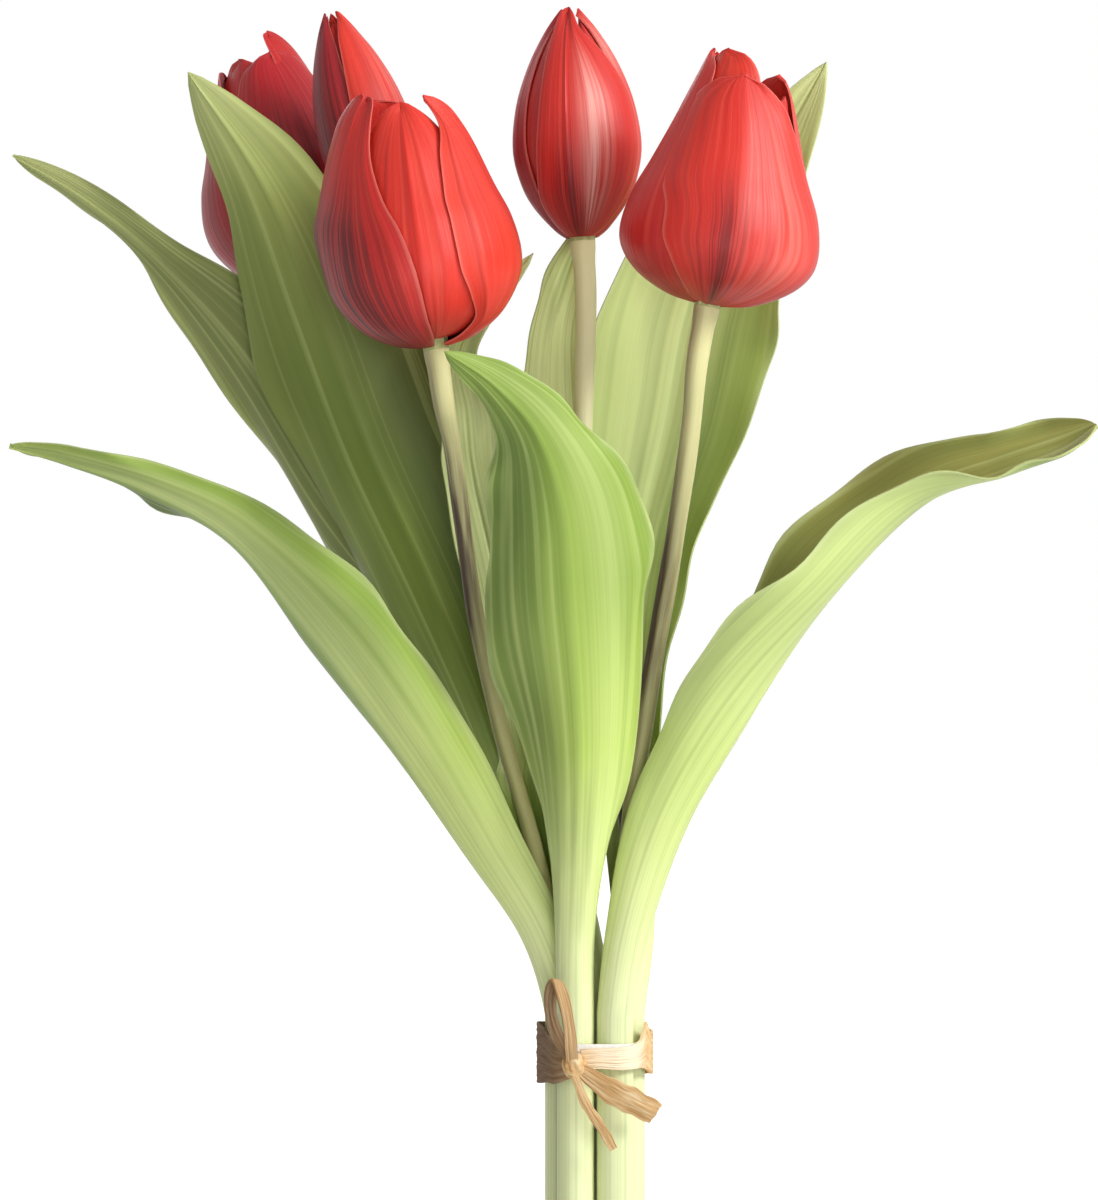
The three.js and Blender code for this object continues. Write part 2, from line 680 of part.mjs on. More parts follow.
// A row of a band from its lower to its upper edge, on the inner or the outer face.
function bandRow(angle, clear, middle, width) {
  const radius = bandRadius(angle, clear);
  return [-0.5, 0, 0.5].map((share) => {
    return new THREE.Vector3(radius * Math.cos(angle), radius * Math.sin(angle), middle + share * width);
  });
}

function elasticBand() {
  const inner = [];
  const outer = [];
  for (let step = 0; step < bandSteps; step++) {
    const angle = (2 * Math.PI * step) / bandSteps;
    inner.push(bandRow(angle, seatGap, elasticHeight, elasticWidth));
    outer.push(bandRow(angle, seatGap + elasticThickness, elasticHeight, elasticWidth));
  }
  return sheetGeometry(outer, inner, true);
}

const raffiaClear = 2 * seatGap + elasticThickness;
const knotSeat = raffiaClear + raffiaThickness + seatGap;
const knotDistance = bandRadius(radians(knotAngle), knotSeat) + knotSize[1] / 2;
const knotPlace = new THREE.Vector3(
  knotDistance * Math.cos(radians(knotAngle)),
  knotDistance * Math.sin(radians(knotAngle)),
  tieHeight - knotDrop,
);

// One turn of flat raffia, open behind the knot, where its two ends are gathered.
function raffiaBand() {
  const opening = radians(raffiaOpening);
  const inner = [];
  const outer = [];
  for (let step = 0; step <= bandSteps; step++) {
    const share = step / bandSteps;
    const angle = radians(knotAngle) + opening + share * (2 * Math.PI - 2 * opening);
    const fromKnot = Math.min(share, 1 - share) * 2;
    const spread = THREE.MathUtils.smoothstep(fromKnot, 0, raffiaGather);
    const width = THREE.MathUtils.lerp(raffiaGathered, raffiaWidth, spread);
    inner.push(bandRow(angle, raffiaClear, tieHeight, width));
    outer.push(bandRow(angle, raffiaClear + raffiaThickness, tieHeight, width));
  }
  return sheetGeometry(outer, inner);
}

// A strip of raffia through places measured from the knot; half is half its width at each.
function raffiaStrip(stations) {
  const strip = { roll: stripRoll, wall: raffiaThickness, margin: raffiaThickness };
  const placed = stations.map((station) => ({
    ...strip,
    half: station.half,
    at: vector(station.at).add(knotPlace),
    face: vector(station.face),
  }));
  return leafGeometry(loftedSheet(placed, 0, rowsPerSpan, stripColumns, 0));
}

const strips = {
  raffia_loop: [
    { at: [-0.6, -2, 3.2], face: [0, 1, 0.2], half: 1.6 },
    { at: [-1.6, -3.4, 9], face: [0, 1, 0.1], half: 2.6 },
    { at: [-2.6, -3.2, 16], face: [0, 1, -0.2], half: 2.9 },
    { at: [-3, -1.6, 20.3], face: [0, 0.3, -1], half: 2.6 },
    { at: [-2.8, 0.2, 17], face: [0, -1, -0.3], half: 2.6 },
    { at: [-1.8, 0.3, 10], face: [0, -1, 0], half: 2.3 },
    { at: [-0.8, -0.1, 3.55], face: [0, -1, 0], half: 1.5 },
  ],
  raffia_broad_tail: [
    { at: [3.55, -0.6, -1.5], face: [0, 1, 0], half: 1.8 },
    { at: [9, -1.6, -5], face: [0.1, 1, 0.2], half: 2.8 },
    { at: [15, -1.4, -7.6], face: [0.1, 1, 0.3], half: 3.2 },
    { at: [20.5, 0.6, -10.4], face: [0.1, 1, 0.3], half: 3.1 },
  ],
  raffia_narrow_tail: [
    { at: [0.6, -0.8, -3.55], face: [0, 1, 0], half: 1.1 },
    { at: [3, -1.8, -9], face: [0.1, 1, 0], half: 1.2 },
    { at: [6.6, -1.6, -14.6], face: [0.3, 1, 0], half: 1.2 },
    { at: [10, -1.2, -20.5], face: [0.2, 1, 0], half: 1 },
  ],
};

function knotGeometry() {
  return new THREE.SphereGeometry(0.5, 10, 7).scale(...knotSize);
}

const bunch = new THREE.Group();
for (const tulip of tulips) bunch.add(tulipGroup(tulip));
const tie = new THREE.Group();
tie.add(piece("elastic_band", elasticBand(), "elastic"));
tie.add(piece("raffia_band", raffiaBand(), "raffia"));
const knot = piece("raffia_knot", knotGeometry(), "raffia");
knot.position.copy(knotPlace);
tie.add(knot);
for (const [name, stations] of Object.entries(strips)) tie.add(piece(name, raffiaStrip(stations), "raffia"));
bunch.add(tie);

export default bunch;
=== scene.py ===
import math

import bmesh
import bpy
import numpy as np
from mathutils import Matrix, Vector


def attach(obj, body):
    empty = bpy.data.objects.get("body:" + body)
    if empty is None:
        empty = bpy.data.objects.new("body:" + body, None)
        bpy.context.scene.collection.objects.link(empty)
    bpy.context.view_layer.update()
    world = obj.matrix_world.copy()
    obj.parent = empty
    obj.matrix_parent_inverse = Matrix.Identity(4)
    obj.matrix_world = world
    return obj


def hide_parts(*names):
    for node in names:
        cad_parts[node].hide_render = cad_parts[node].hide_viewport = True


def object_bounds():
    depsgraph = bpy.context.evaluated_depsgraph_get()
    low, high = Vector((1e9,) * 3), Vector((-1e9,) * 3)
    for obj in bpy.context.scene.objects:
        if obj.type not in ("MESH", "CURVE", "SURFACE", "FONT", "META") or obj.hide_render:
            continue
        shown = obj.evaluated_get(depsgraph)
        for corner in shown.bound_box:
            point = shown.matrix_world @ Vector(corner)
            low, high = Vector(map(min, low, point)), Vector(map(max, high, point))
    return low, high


# A bunch of five artificial tulips in a raffia tie. Tables are in millimetres, meshes in metres.
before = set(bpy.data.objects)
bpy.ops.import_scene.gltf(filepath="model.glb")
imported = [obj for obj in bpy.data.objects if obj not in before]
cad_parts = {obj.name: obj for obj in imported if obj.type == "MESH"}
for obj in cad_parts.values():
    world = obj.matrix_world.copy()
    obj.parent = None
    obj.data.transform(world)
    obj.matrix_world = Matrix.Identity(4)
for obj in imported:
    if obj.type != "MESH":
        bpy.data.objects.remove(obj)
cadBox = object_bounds()
scene = bpy.context.scene
scene.view_settings.view_transform = "Standard"
mm = 0.001


def linear(hexColour):
    parts = [int(hexColour[i:i + 2], 16) / 255 for i in (1, 3, 5)]
    return tuple(c / 12.92 if c <= 0.04045 else ((c + 0.055) / 1.055) ** 2.4 for c in parts) + (1.0,)


def addNode(tree, kind, inputs=None, out=0, stops=(), **settings):
    # a node with its settings, values and links, and the output that is used from it
    node = tree.nodes.new(kind)
    for name, value in settings.items():
        setattr(node, name, value)
    for key, value in (inputs or {}).items():
        if isinstance(value, bpy.types.NodeSocket):
            tree.links.new(value, node.inputs[key])
        else:
            node.inputs[key].default_value = value
    for place, (position, colour) in enumerate(stops):
        elements = node.color_ramp.elements
        element = elements[place] if place < len(elements) else elements.new(position)
        element.position, element.color = position, linear(colour)
    return node.outputs[out] if node.outputs and out is not None else node


def newMaterial(name):
    material = bpy.data.materials.new(name)
    material.use_nodes = True
    material.node_tree.nodes.clear()
    return material, material.node_tree


# Camera: level, in front of the bunch, with the stalks cut off by the picture's lower edge
view = {"place": (-11.5, -1300, 242), "lens": 156, "sensor": 36}
cameraData = bpy.data.cameras.new("camera")
cameraData.lens = view["lens"]
cameraData.sensor_width = view["sensor"]
camera = bpy.data.objects.new("camera", cameraData)
camera.location = Vector(view["place"]) * mm
camera.rotation_euler = (math.radians(90), 0, 0)
scene.collection.objects.link(camera)
scene.camera = camera

# Studio: a soft lamp at the right, weaker ones in front, low in front and behind, white all round
studio = {
    "lamps": {
        "key": {"place": (1120, -700, 960), "aim": (-20, -10, 260), "size": 480, "watts": 18},
        "front": {"place": (560, -1350, 1290), "aim": (-20, 0, 260), "size": 800, "watts": 4.5},
        "fill": {"place": (240, -1280, 130), "aim": (-20, 0, 240), "size": 500, "watts": 4.6},
        "rim": {"place": (-300, 900, 900), "aim": (-20, 20, 280), "size": 700, "watts": 3},
    },
    "ambient": 0.3, "floorColour": "#f4f4f2", "floorSize": 12000, "floorDrop": 0.6,
    "floorGlow": (0.2, 1.0), "glowReach": (150, 1500),
}
for name, lamp in studio["lamps"].items():
    data = bpy.data.lights.new(name, "AREA")
    data.energy = lamp["watts"]
    data.size = lamp["size"] * mm
    light = bpy.data.objects.new(name, data)
    light.location = Vector(lamp["place"]) * mm
    aim = Vector(lamp["aim"]) * mm - light.location
    light.rotation_euler = aim.to_track_quat("-Z", "Y").to_euler()
    scene.collection.objects.link(light)


def seenDirectly(tree):
    rays = addNode(tree, "ShaderNodeLightPath", out=None).outputs
    seen = rays["Is Camera Ray"]
    for kind in ("Is Glossy Ray", "Is Transmission Ray"):
        seen = addNode(tree, "ShaderNodeMath", {0: seen, 1: rays[kind]}, operation="MAXIMUM")
    return seen


world = bpy.data.worlds.new("white room")
scene.world = world
world.use_nodes = True
tree = world.node_tree
tree.nodes.clear()
ambient = addNode(tree, "ShaderNodeBackground", {"Color": (1, 1, 1, 1), "Strength": studio["ambient"]})
backdrop = addNode(tree, "ShaderNodeBackground", {"Color": (1, 1, 1, 1), "Strength": 1})
room = addNode(tree, "ShaderNodeMixShader", {0: seenDirectly(tree), 1: ambient, 2: backdrop})
addNode(tree, "ShaderNodeOutputWorld", {"Surface": room})

# Floor: matt paint that goes over into the white room away from the bunch
floorMesh = bpy.data.meshes.new("floor")
reach = studio["floorSize"] * mm / 2
corners = [(-reach, -reach, 0), (reach, -reach, 0), (reach, reach, 0), (-reach, reach, 0)]
floorMesh.from_pydata(corners, [], [(0, 1, 2, 3)])
floor = bpy.data.objects.new("floor", floorMesh)
floor.location.z = -studio["floorDrop"] * mm
scene.collection.objects.link(floor)
floorPaint, tree = newMaterial("pale floor")
place = addNode(tree, "ShaderNodeTexCoord", out=None).outputs["Object"]
away = addNode(tree, "ShaderNodeVectorMath", {0: place}, 1, operation="LENGTH")
level = addNode(tree, "ShaderNodeMapRange", {
    "Value": away, "From Min": studio["glowReach"][0] * mm, "From Max": studio["glowReach"][1] * mm,
    "To Min": studio["floorGlow"][0], "To Max": studio["floorGlow"][1]}, clamp=True)
paint = addNode(tree, "ShaderNodeBsdfDiffuse", {"Color": linear(studio["floorColour"])})
glow = addNode(tree, "ShaderNodeEmission", {"Color": (1, 1, 1, 1), "Strength": level})
both = addNode(tree, "ShaderNodeAddShader", {0: paint, 1: glow})
shown = addNode(tree, "ShaderNodeMixShader", {0: seenDirectly(tree), 1: paint, 2: both})
addNode(tree, "ShaderNodeOutputMaterial", {"Surface": shown})
floorMesh.materials.append(floorPaint)
print("studio ready")


# Materials read the pieces' marks: "across" is -1 to 1 between the margins, "along" is 0 to 1 from foot
# to tip. A finish has the half width and length (mm) that its threads are drawn for, noise drawn out
# lengthwise as (spacing in mm, run in mm, shift, detail), a ground of colours along one pattern, and
# layers over it: (colour, pattern, from, to, strength), then a mark that limits it. The roughness goes
# with a range of one pattern; the relief (strength, depth in mm) is over a sum of patterns.
def makeSkin(finish):
    material, tree = newMaterial(finish["name"])
    patterns = {mark: addNode(tree, "ShaderNodeAttribute", None, 2, attribute_name=mark)
                for mark in ("across", "along", "seed", *finish["marks"])}
    halfWidth, length = finish["size"]
    for name, (spacing, run, shift, detail) in finish["threads"].items():
        steps = [("across", halfWidth / spacing, "MULTIPLY"), ("along", length / run, "MULTIPLY"),
                 ("seed", shift, "ADD")]
        place = addNode(tree, "ShaderNodeCombineXYZ", {
            axis: addNode(tree, "ShaderNodeMath", {0: patterns[mark], 1: value}, operation=operation)
            for axis, (mark, value, operation) in enumerate(steps)})
        patterns[name] = addNode(tree, "ShaderNodeTexNoise", {
            "Vector": place, "Scale": 1, "Detail": detail, "Roughness": 0.55})
    ground, stops = finish["ground"]
    colour = addNode(tree, "ShaderNodeValToRGB", {"Fac": patterns[ground]}, stops=stops)
    for paint, name, low, high, strength, *limits in finish["layers"]:
        share = addNode(tree, "ShaderNodeMapRange", {
            "Value": patterns[name], "From Min": low, "From Max": high, "To Max": strength}, clamp=True)
        for limit in limits:
            share = addNode(tree, "ShaderNodeMath", {0: share, 1: patterns[limit]},
                            operation="MULTIPLY", use_clamp=True)
        colour = addNode(tree, "ShaderNodeMix", {0: share, 6: colour, 7: linear(paint)}, 2, data_type="RGBA")
    name, least, most, low, high = finish["roughness"]
    gloss = addNode(tree, "ShaderNodeMapRange", {
        "Value": patterns[name], "From Min": least, "From Max": most, "To Min": low, "To Max": high}, clamp=True)
    height = 0
    for name, share in finish["height"].items():
        height = addNode(tree, "ShaderNodeMath", {0: patterns[name], 1: share, 2: height},
                         operation="MULTIPLY_ADD")
    strength, depth = finish["relief"]
    grain = addNode(tree, "ShaderNodeBump", {"Height": height, "Strength": strength, "Distance": depth * mm})
    skin = addNode(tree, "ShaderNodeBsdfPrincipled", {
        "Base Color": colour, "Roughness": gloss, "Normal": grain, "IOR": finish["ior"],
        "Specular IOR Level": finish["specular"]})
    addNode(tree, "ShaderNodeOutputMaterial", {"Surface": skin})
    return material


# Petals: cast polyurethane skin, satin, printed by hand; crimson to orange red, with painted light that
# makes lit petals more orange and shaded ones more crimson, maroon streaks that run to the foot and also
# stand for painted shade, painted sheen streaks, painted highlight patches and painted highlights on the
# edges, and fine ribs that break up the highlight
petalSkin = makeSkin({
    "name": "polyurethane petal skin", "size": (28, 70), "marks": ("warm", "pale", "stain", "rim"),
    "threads": {"ribs": (0.55, 35, 23, 2), "paintedSheen": (1.4, 50, 3, 2), "deep": (3.2, 60, 31, 2),
                "fade": (1.4, 50, 41, 2), "print": (0.85, 60, 11, 3)},
    # ground: crimson to orange red, partly painted light: lit petals more orange, shaded ones more crimson
    "ground": ("warm", [(0, "#b0141f"), (1, "#dd3626")]),
    "layers": [
        ("#8e1c27", "along", 0.2, 0.02, 0.2),
        # painted sheen: pale orange streaks for the satin highlight broken up by the ribs
        ("#e8604a", "paintedSheen", 0.48, 0.74, 0.3),
        ("#8e1420", "deep", 0.5, 0.74, 0.42),
        # painted highlight: pale pink patches where the key lamp's satin highlight falls, broken up by a noise
        ("#f0a59a", "fade", 0.3, 0.6, 0.9, "pale"),
        # maroon: partly printed streaks, partly painted shade on petals that lie in shade
        ("#701620", "stain", 0, 1, 0.58),
        ("#480a10", "print", 0.48, 0.56, 0.8, "stain"),
        # rim: painted highlight along the petals' edges
        ("#ef8a7c", "rim", 0, 1, 0.45)],
    "roughness": ("ribs", 0.25, 0.75, 0.36, 0.58), "height": {"ribs": 1}, "relief": (0.4, 0.2),
    "ior": 1.5, "specular": 0.36})

# Leaves: moulded polyethylene, satin, nearly white at the rolled foot, with raised parallel veins;
# painted shade and painted light lie over whole leaves and across them, and a painted highlight along
# the margins
leafSkin = makeSkin({
    "name": "moulded polyethylene leaf", "size": (21, 250), "marks": ("blade", "tone", "rim", "lining"),
    "threads": {"veins": (2.3, 600, 2, 2), "fine": (0.6, 300, 7, 2), "patches": (13, 90, 17, 2)},
    "ground": ("blade", [
        (0, "#e4eab6"), (0.13, "#d9e59c"), (0.28, "#b3ca62"), (0.45, "#90ac46"), (0.72, "#879f45"),
        (0.88, "#a3b160"), (1, "#c6ce8c")]),
    "layers": [
        # painted shade (dark green) and painted light (pale green) of each leaf and across it
        ("#44552a", "tone", 0, 1, 1),
        ("#e6f0aa", "tone", 0, -1, 1),
        ("#9a9450", "lining", 0, 1, 1),
        ("#c9d68c", "veins", 0.52, 0.66, 0.32),
        ("#587034", "veins", 0.5, 0.34, 0.22),
        ("#6b8240", "fine", 0.5, 0.7, 0.16),
        ("#566c30", "patches", 0.5, 0.72, 0.4),
        ("#b9c96f", "patches", 0.46, 0.25, 0.28),
        # rim: painted highlight along the margins
        ("#dfe5b2", "rim", 0, 1, 0.25)],
    "roughness": ("fine", 0.2, 0.8, 0.42, 0.56), "height": {"veins": 1, "fine": 0.3}, "relief": (0.3, 0.3),
    "ior": 1.5, "specular": 0.26})

# Stems: soft PVC drawn over wire, satin, olive with a purple-brown flush half way up; the same brown is
# also painted as shade on the side turned away from the key lamp, and a paler flush paints light on a
# stem in shadow
stemSkin = makeSkin({
    "name": "soft PVC stem", "size": (9, 330), "marks": ("flushAndPaintedLight",),
    "threads": {"blotches": (3, 36, 5, 2), "fibres": (0.7, 24, 9, 2)},
    "ground": ("along", [(0, "#e0e6b0"), (0.35, "#d0d394"), (0.6, "#c2bd80"), (1, "#d6d298")]),
    "layers": [
        # the purple-brown flush, which also carries painted shade on the stems' left sides; below 0 it paints a
        # paler colour as light
        ("#4a3828", "blotches", 0.15, 0.55, 0.92, "flushAndPaintedLight"),
        ("#f0ecbc", "flushAndPaintedLight", 0, -1, 1),
        ("#e3dfae", "fibres", 0.55, 0.75, 0.25)],
    "roughness": ("fibres", 0.2, 0.8, 0.42, 0.58), "height": {"fibres": 1}, "relief": (0.3, 0.2),
    "ior": 1.53, "specular": 0.4})

# Raffia: dried palm leaf torn into strips, matt and papery, pale tan with darker fibres and pleats
raffiaFibre = makeSkin({
    "name": "dried palm raffia", "size": (4, 30), "marks": ("shade",),
    "threads": {"bands": (1.1, 14, 4, 2), "strands": (0.3, 9, 13, 3)},
    "ground": ("bands", [(0.25, "#b3854f"), (0.42, "#d6a970"), (0.58, "#ecc996"), (0.8, "#f8e4c2")]),
    "layers": [
        ("#946a40", "strands", 0.54, 0.74, 0.6),
        ("#4a332c", "shade", 0, 1, 1),
        ("#fdeed2", "shade", 0, -1, 1)],
    "roughness": ("strands", 0.2, 0.8, 0.62, 0.85), "height": {"strands": 1}, "relief": (0.6, 0.3),
    "ior": 1.5, "specular": 0.25})

# Finishes of the small solids, two close colours over a grain in millimetres: matt natural rubber,
# drawn steel and hard green foam
smallFinishes = {
    "elastic": {"name": "natural rubber band", "colours": ("#e6e4de", "#f4f3ee"), "grain": 0.8, "bump": 0.2,
                "roughness": 0.55, "metallic": 0.0},
    "wire": {"name": "drawn steel wire", "colours": ("#84878c", "#a5a8ac"), "grain": 0.4, "bump": 0.15,
             "roughness": 0.38, "metallic": 1.0},
    "core": {"name": "foam receptacle", "colours": ("#a9b26c", "#d4d99c"), "grain": 1.2, "bump": 0.4,
             "roughness": 0.7, "metallic": 0.0},
}
grainDepth = 0.1
smallSkins = {}
for part, finish in smallFinishes.items():
    smallSkins[part], tree = newMaterial(finish["name"])
    place = addNode(tree, "ShaderNodeTexCoord", out=None).outputs["Object"]
    noise = addNode(tree, "ShaderNodeTexNoise", {
        "Vector": place, "Scale": 1 / (finish["grain"] * mm), "Detail": 3.0})
    colour = addNode(tree, "ShaderNodeValToRGB", {"Fac": noise}, stops=[
        (0.3, finish["colours"][0]), (0.7, finish["colours"][1])])
    grain = addNode(tree, "ShaderNodeBump", {
        "Height": noise, "Strength": finish["bump"], "Distance": finish["grain"] * grainDepth * mm})
    skin = addNode(tree, "ShaderNodeBsdfPrincipled", {
        "Base Color": colour, "Normal": grain, "Roughness": finish["roughness"],
        "Metallic": finish["metallic"]})
    addNode(tree, "ShaderNodeOutputMaterial", {"Surface": skin})
print("materials ready")


# Curves through tables of values, as the solids have them
def hermite(first, second, leaving, arriving, share):
    square, cube = share ** 2, share ** 3
    return ((2 * cube - 3 * square + 1) * first + (cube - 2 * square + share) * leaving
            + (3 * square - 2 * cube) * second + (cube - square) * arriving)


def spans(values, t, ends):
    values = np.asarray(values, float)
    last = len(values) - 1
    place = np.clip(np.asarray(t, float) * last, 0, last)
    index = np.minimum(place.astype(int), last - 1)
    if ends == "free":
        outer = [2 * values[0] - values[1]], [2 * values[-1] - values[-2]]
    else:
        outer = [values[0]], [values[-1]]
    padded = np.concatenate([outer[0], values, outer[1]])
    return [padded[index + k] for k in range(4)], (place - index)[:, None]


def evenCurve(values, t, ends="free"):
    (before, first, second, after), share = spans(values, t, ends)
    return hermite(first, second, (second - before) / 2, (after - first) / 2, share)


def stemCurve(points, t):
    (before, first, second, after), share = spans(points, t, "free")
    gaps = [np.sqrt(np.maximum(np.linalg.norm(b - a, axis=1, keepdims=True), 1e-6))
            for a, b in ((before, first), (first, second), (second, after))]
    leaving = ((first - before) / gaps[0] - (second - before) / (gaps[0] + gaps[1])
               + (second - first) / gaps[1]) * gaps[1]
    arriving = ((second - first) / gaps[1] - (after - first) / (gaps[1] + gaps[2])
                + (after - second) / gaps[2]) * gaps[1]
    return hermite(first, second, leaving, arriving, share)


def unit(vectors):
    vectors = np.asarray(vectors, float)
    return vectors / np.linalg.norm(vectors, axis=-1, keepdims=True)


def alongStations(table, t):
    values = evenCurve(table, t)
    tangent = slopes(lambda s: evenCurve(table[:, :3], s), t)
    inward = values[:, 3:6]
    return values, tangent, unit(inward - tangent * np.sum(inward * tangent, 1, keepdims=True))


def runAlong(points):
    return np.concatenate([[0], np.cumsum(np.linalg.norm(np.diff(points, axis=0), axis=1))])


def slopes(curve, t):
    step = 1e-4
    return unit(curve(np.minimum(t + step, 1)) - curve(np.maximum(t - step, 0)))


def smooth(low, high, value):
    share = np.clip((np.asarray(value, float) - low) / (high - low), 0, 1)
    return share * share * (3 - 2 * share)


def setMark(mesh, mark, values):
    mesh.attributes.new(mark, "FLOAT", "POINT").data.foreach_set("value", values.astype(np.float32))


# A closed sheet between two grids of points in millimetres. Its marks are the attributes that the
# trees and materials read; a pair holds one value for each face.
weld = {"merge": 0.01, "sliver": 0.005}


def closedSheet(name, front, back, marks, looped=False):
    rows, columns = front.shape[:2]
    count, last = rows * columns, (rows - 1) * columns
    points = np.concatenate([front.reshape(-1, 3), back.reshape(-1, 3)])
    sides, steps = np.arange(rows if looped else rows - 1), np.arange(columns - 1)
    row, column = [grid.ravel() for grid in np.meshgrid(sides, steps, indexing="ij")]
    a = row * columns + column
    d = (row + 1) % rows * columns + column
    quads = [np.stack([a, a + 1, d + 1, d], 1), np.stack([d, d + 1, a + 1, a], 1) + count]
    here, after, end = sides * columns, (sides + 1) % rows * columns, columns - 1
    walls = [(here, after, 1), (here + end, after + end, -1)]
    if not looped:
        walls += [(steps, steps + 1, -1), (last + steps, last + steps + 1, 1)]
    for first, second, turn in walls:
        quads.append(np.stack([first, second, second + count, first + count], 1)[:, ::turn])
    faces = np.concatenate(quads)
    corners = points[faces]
    volume = np.einsum("ij,ij->i", corners[:, 0], np.cross(corners[:, 1], corners[:, 2])).sum()
    volume += np.einsum("ij,ij->i", corners[:, 0], np.cross(corners[:, 2], corners[:, 3])).sum()
    if volume < 0:
        faces = faces[:, ::-1]
    mesh = bpy.data.meshes.new(name)
    mesh.from_pydata((points * mm).tolist(), [], faces.tolist())
    for mark, values in marks.items():
        pair = values if isinstance(values, tuple) else (values, values)
        setMark(mesh, mark, np.concatenate([np.broadcast_to(value, (rows, columns)).ravel() for value in pair]))
    shape = bmesh.new()
    shape.from_mesh(mesh)
    bmesh.ops.remove_doubles(shape, verts=shape.verts, dist=weld["merge"] * mm)
    bmesh.ops.dissolve_degenerate(shape, edges=shape.edges, dist=weld["sliver"] * mm)
    shape.to_mesh(mesh)
    shape.free()
    piece = bpy.data.objects.new(name, mesh)
    scene.collection.objects.link(piece)
    return piece


def newTree(name, sockets):
    group = bpy.data.node_groups.new(name, "GeometryNodeTree")
    for socket, kind in sockets.items():
        group.interface.new_socket(socket, in_out="INPUT", socket_type="NodeSocket" + kind)
    group.interface.new_socket("Geometry", in_out="OUTPUT", socket_type="NodeSocketGeometry")
    return group, addNode(group, "NodeGroupInput", out=None).outputs


def closeTree(group, geometry, material):
    whole = addNode(group, "GeometryNodeRealizeInstances", {"Geometry": geometry})
    dressed = addNode(group, "GeometryNodeSetMaterial", {"Geometry": whole, "Material": material})
    addNode(group, "NodeGroupOutput", {0: dressed})
    return group


# Ribs that run lengthwise: each point moves along its normal by a noise drawn out from foot to tip
def ribTree():
    group, given = newTree("lengthwise ribs", {
        "Geometry": "Geometry", "ribCount": "Float", "ribHeight": "Float", "ribLength": "Float",
        "marginFade": "Float", "ribSeed": "Float", "material": "Material"})
    across, along, side = [addNode(group, "GeometryNodeInputNamedAttribute", {"Name": name}, data_type="FLOAT")
                           for name in ("across", "along", "side")]
    place = addNode(group, "ShaderNodeCombineXYZ", {
        0: addNode(group, "ShaderNodeMath", {0: across, 1: given["ribCount"]}, operation="MULTIPLY"),
        1: addNode(group, "ShaderNodeMath", {0: along, 1: given["ribLength"]}, operation="MULTIPLY"),
        2: given["ribSeed"]})
    noise = addNode(group, "ShaderNodeTexNoise", {"Vector": place, "Scale": 1.0, "Detail": 2.0})
    fade = addNode(group, "ShaderNodeMapRange", {
        "Value": addNode(group, "ShaderNodeMath", {0: across}, operation="ABSOLUTE"),
        "From Min": addNode(group, "ShaderNodeMath", {0: 1.0, 1: given["marginFade"]}, operation="SUBTRACT"),
        "From Max": 1.0, "To Min": 1.0, "To Max": 0.0}, clamp=True)
    step = addNode(group, "ShaderNodeMath", {0: noise, 1: 0.5}, operation="SUBTRACT")
    for factor in (given["ribHeight"], side, fade):
        step = addNode(group, "ShaderNodeMath", {0: step, 1: factor}, operation="MULTIPLY")
    normal = addNode(group, "GeometryNodeInputNormal")
    move = addNode(group, "ShaderNodeVectorMath", {0: normal, "Scale": step}, operation="SCALE")
    moved = addNode(group, "GeometryNodeSetPosition", {"Geometry": given["Geometry"], "Offset": move})
    return closeTree(group, moved, given["material"])


# A round stem along its route: each point of the route carries its share of the radius
def stemTree():
    group, given = newTree("stem along its route", {
        "Geometry": "Geometry", "stemRadius": "Float", "sides": "Int", "material": "Material"})
    route = addNode(group, "GeometryNodeMeshToCurve", {"Mesh": given["Geometry"]})
    ring = addNode(group, "GeometryNodeCurvePrimitiveCircle", {
        "Resolution": given["sides"], "Radius": given["stemRadius"]})
    turn = addNode(group, "GeometryNodeSplineParameter")
    around = addNode(group, "ShaderNodeMath", {0: turn, 1: 2.0, 2: -1.0}, operation="MULTIPLY_ADD")
    mirrored = addNode(group, "ShaderNodeMath", {0: around}, operation="ABSOLUTE")
    marked = addNode(group, "GeometryNodeStoreNamedAttribute", {
        "Geometry": ring, "Name": "across", "Value": mirrored}, data_type="FLOAT")
    share = addNode(group, "GeometryNodeInputNamedAttribute", {"Name": "girth"}, data_type="FLOAT")
    tube = addNode(group, "GeometryNodeCurveToMesh", {
        "Curve": route, "Profile Curve": marked, "Scale": share, "Fill Caps": True})
    return closeTree(group, tube, given["material"])


ribs, stemTube = ribTree(), stemTree()


def throughTree(piece, tree, settings):
    modifier = piece.modifiers.new(tree.name, "NODES")
    modifier.node_group = tree
    for item in tree.interface.items_tree:
        if item.item_type == "SOCKET" and item.in_out == "INPUT" and item.name in settings:
            modifier[item.identifier] = settings[item.name]
    depsgraph = bpy.context.evaluated_depsgraph_get()
    shaped = piece.evaluated_get(depsgraph)
    mesh = bpy.data.meshes.new_from_object(shaped, preserve_all_data_layers=True, depsgraph=depsgraph)
    piece.modifiers.clear()
    plain = piece.data
    piece.data = mesh
    bpy.data.meshes.remove(plain)
    mesh.name = piece.name


sharpAngle = math.radians(48)


def finishPiece(piece, node, body):
    # what stands out of the solids' box by a rib's height is pressed back to it
    points = np.empty(len(piece.data.vertices) * 3, np.float32)
    piece.data.vertices.foreach_get("co", points)
    points = np.clip(points.reshape(-1, 3), np.array(cadBox[0]), np.array(cadBox[1])).astype(np.float32)
    piece.data.vertices.foreach_set("co", points.ravel())
    piece.data.update()
    piece.data.shade_smooth()
    piece.data.set_sharp_from_angle(angle=sharpAngle)
    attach(piece, body)
    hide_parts(node)


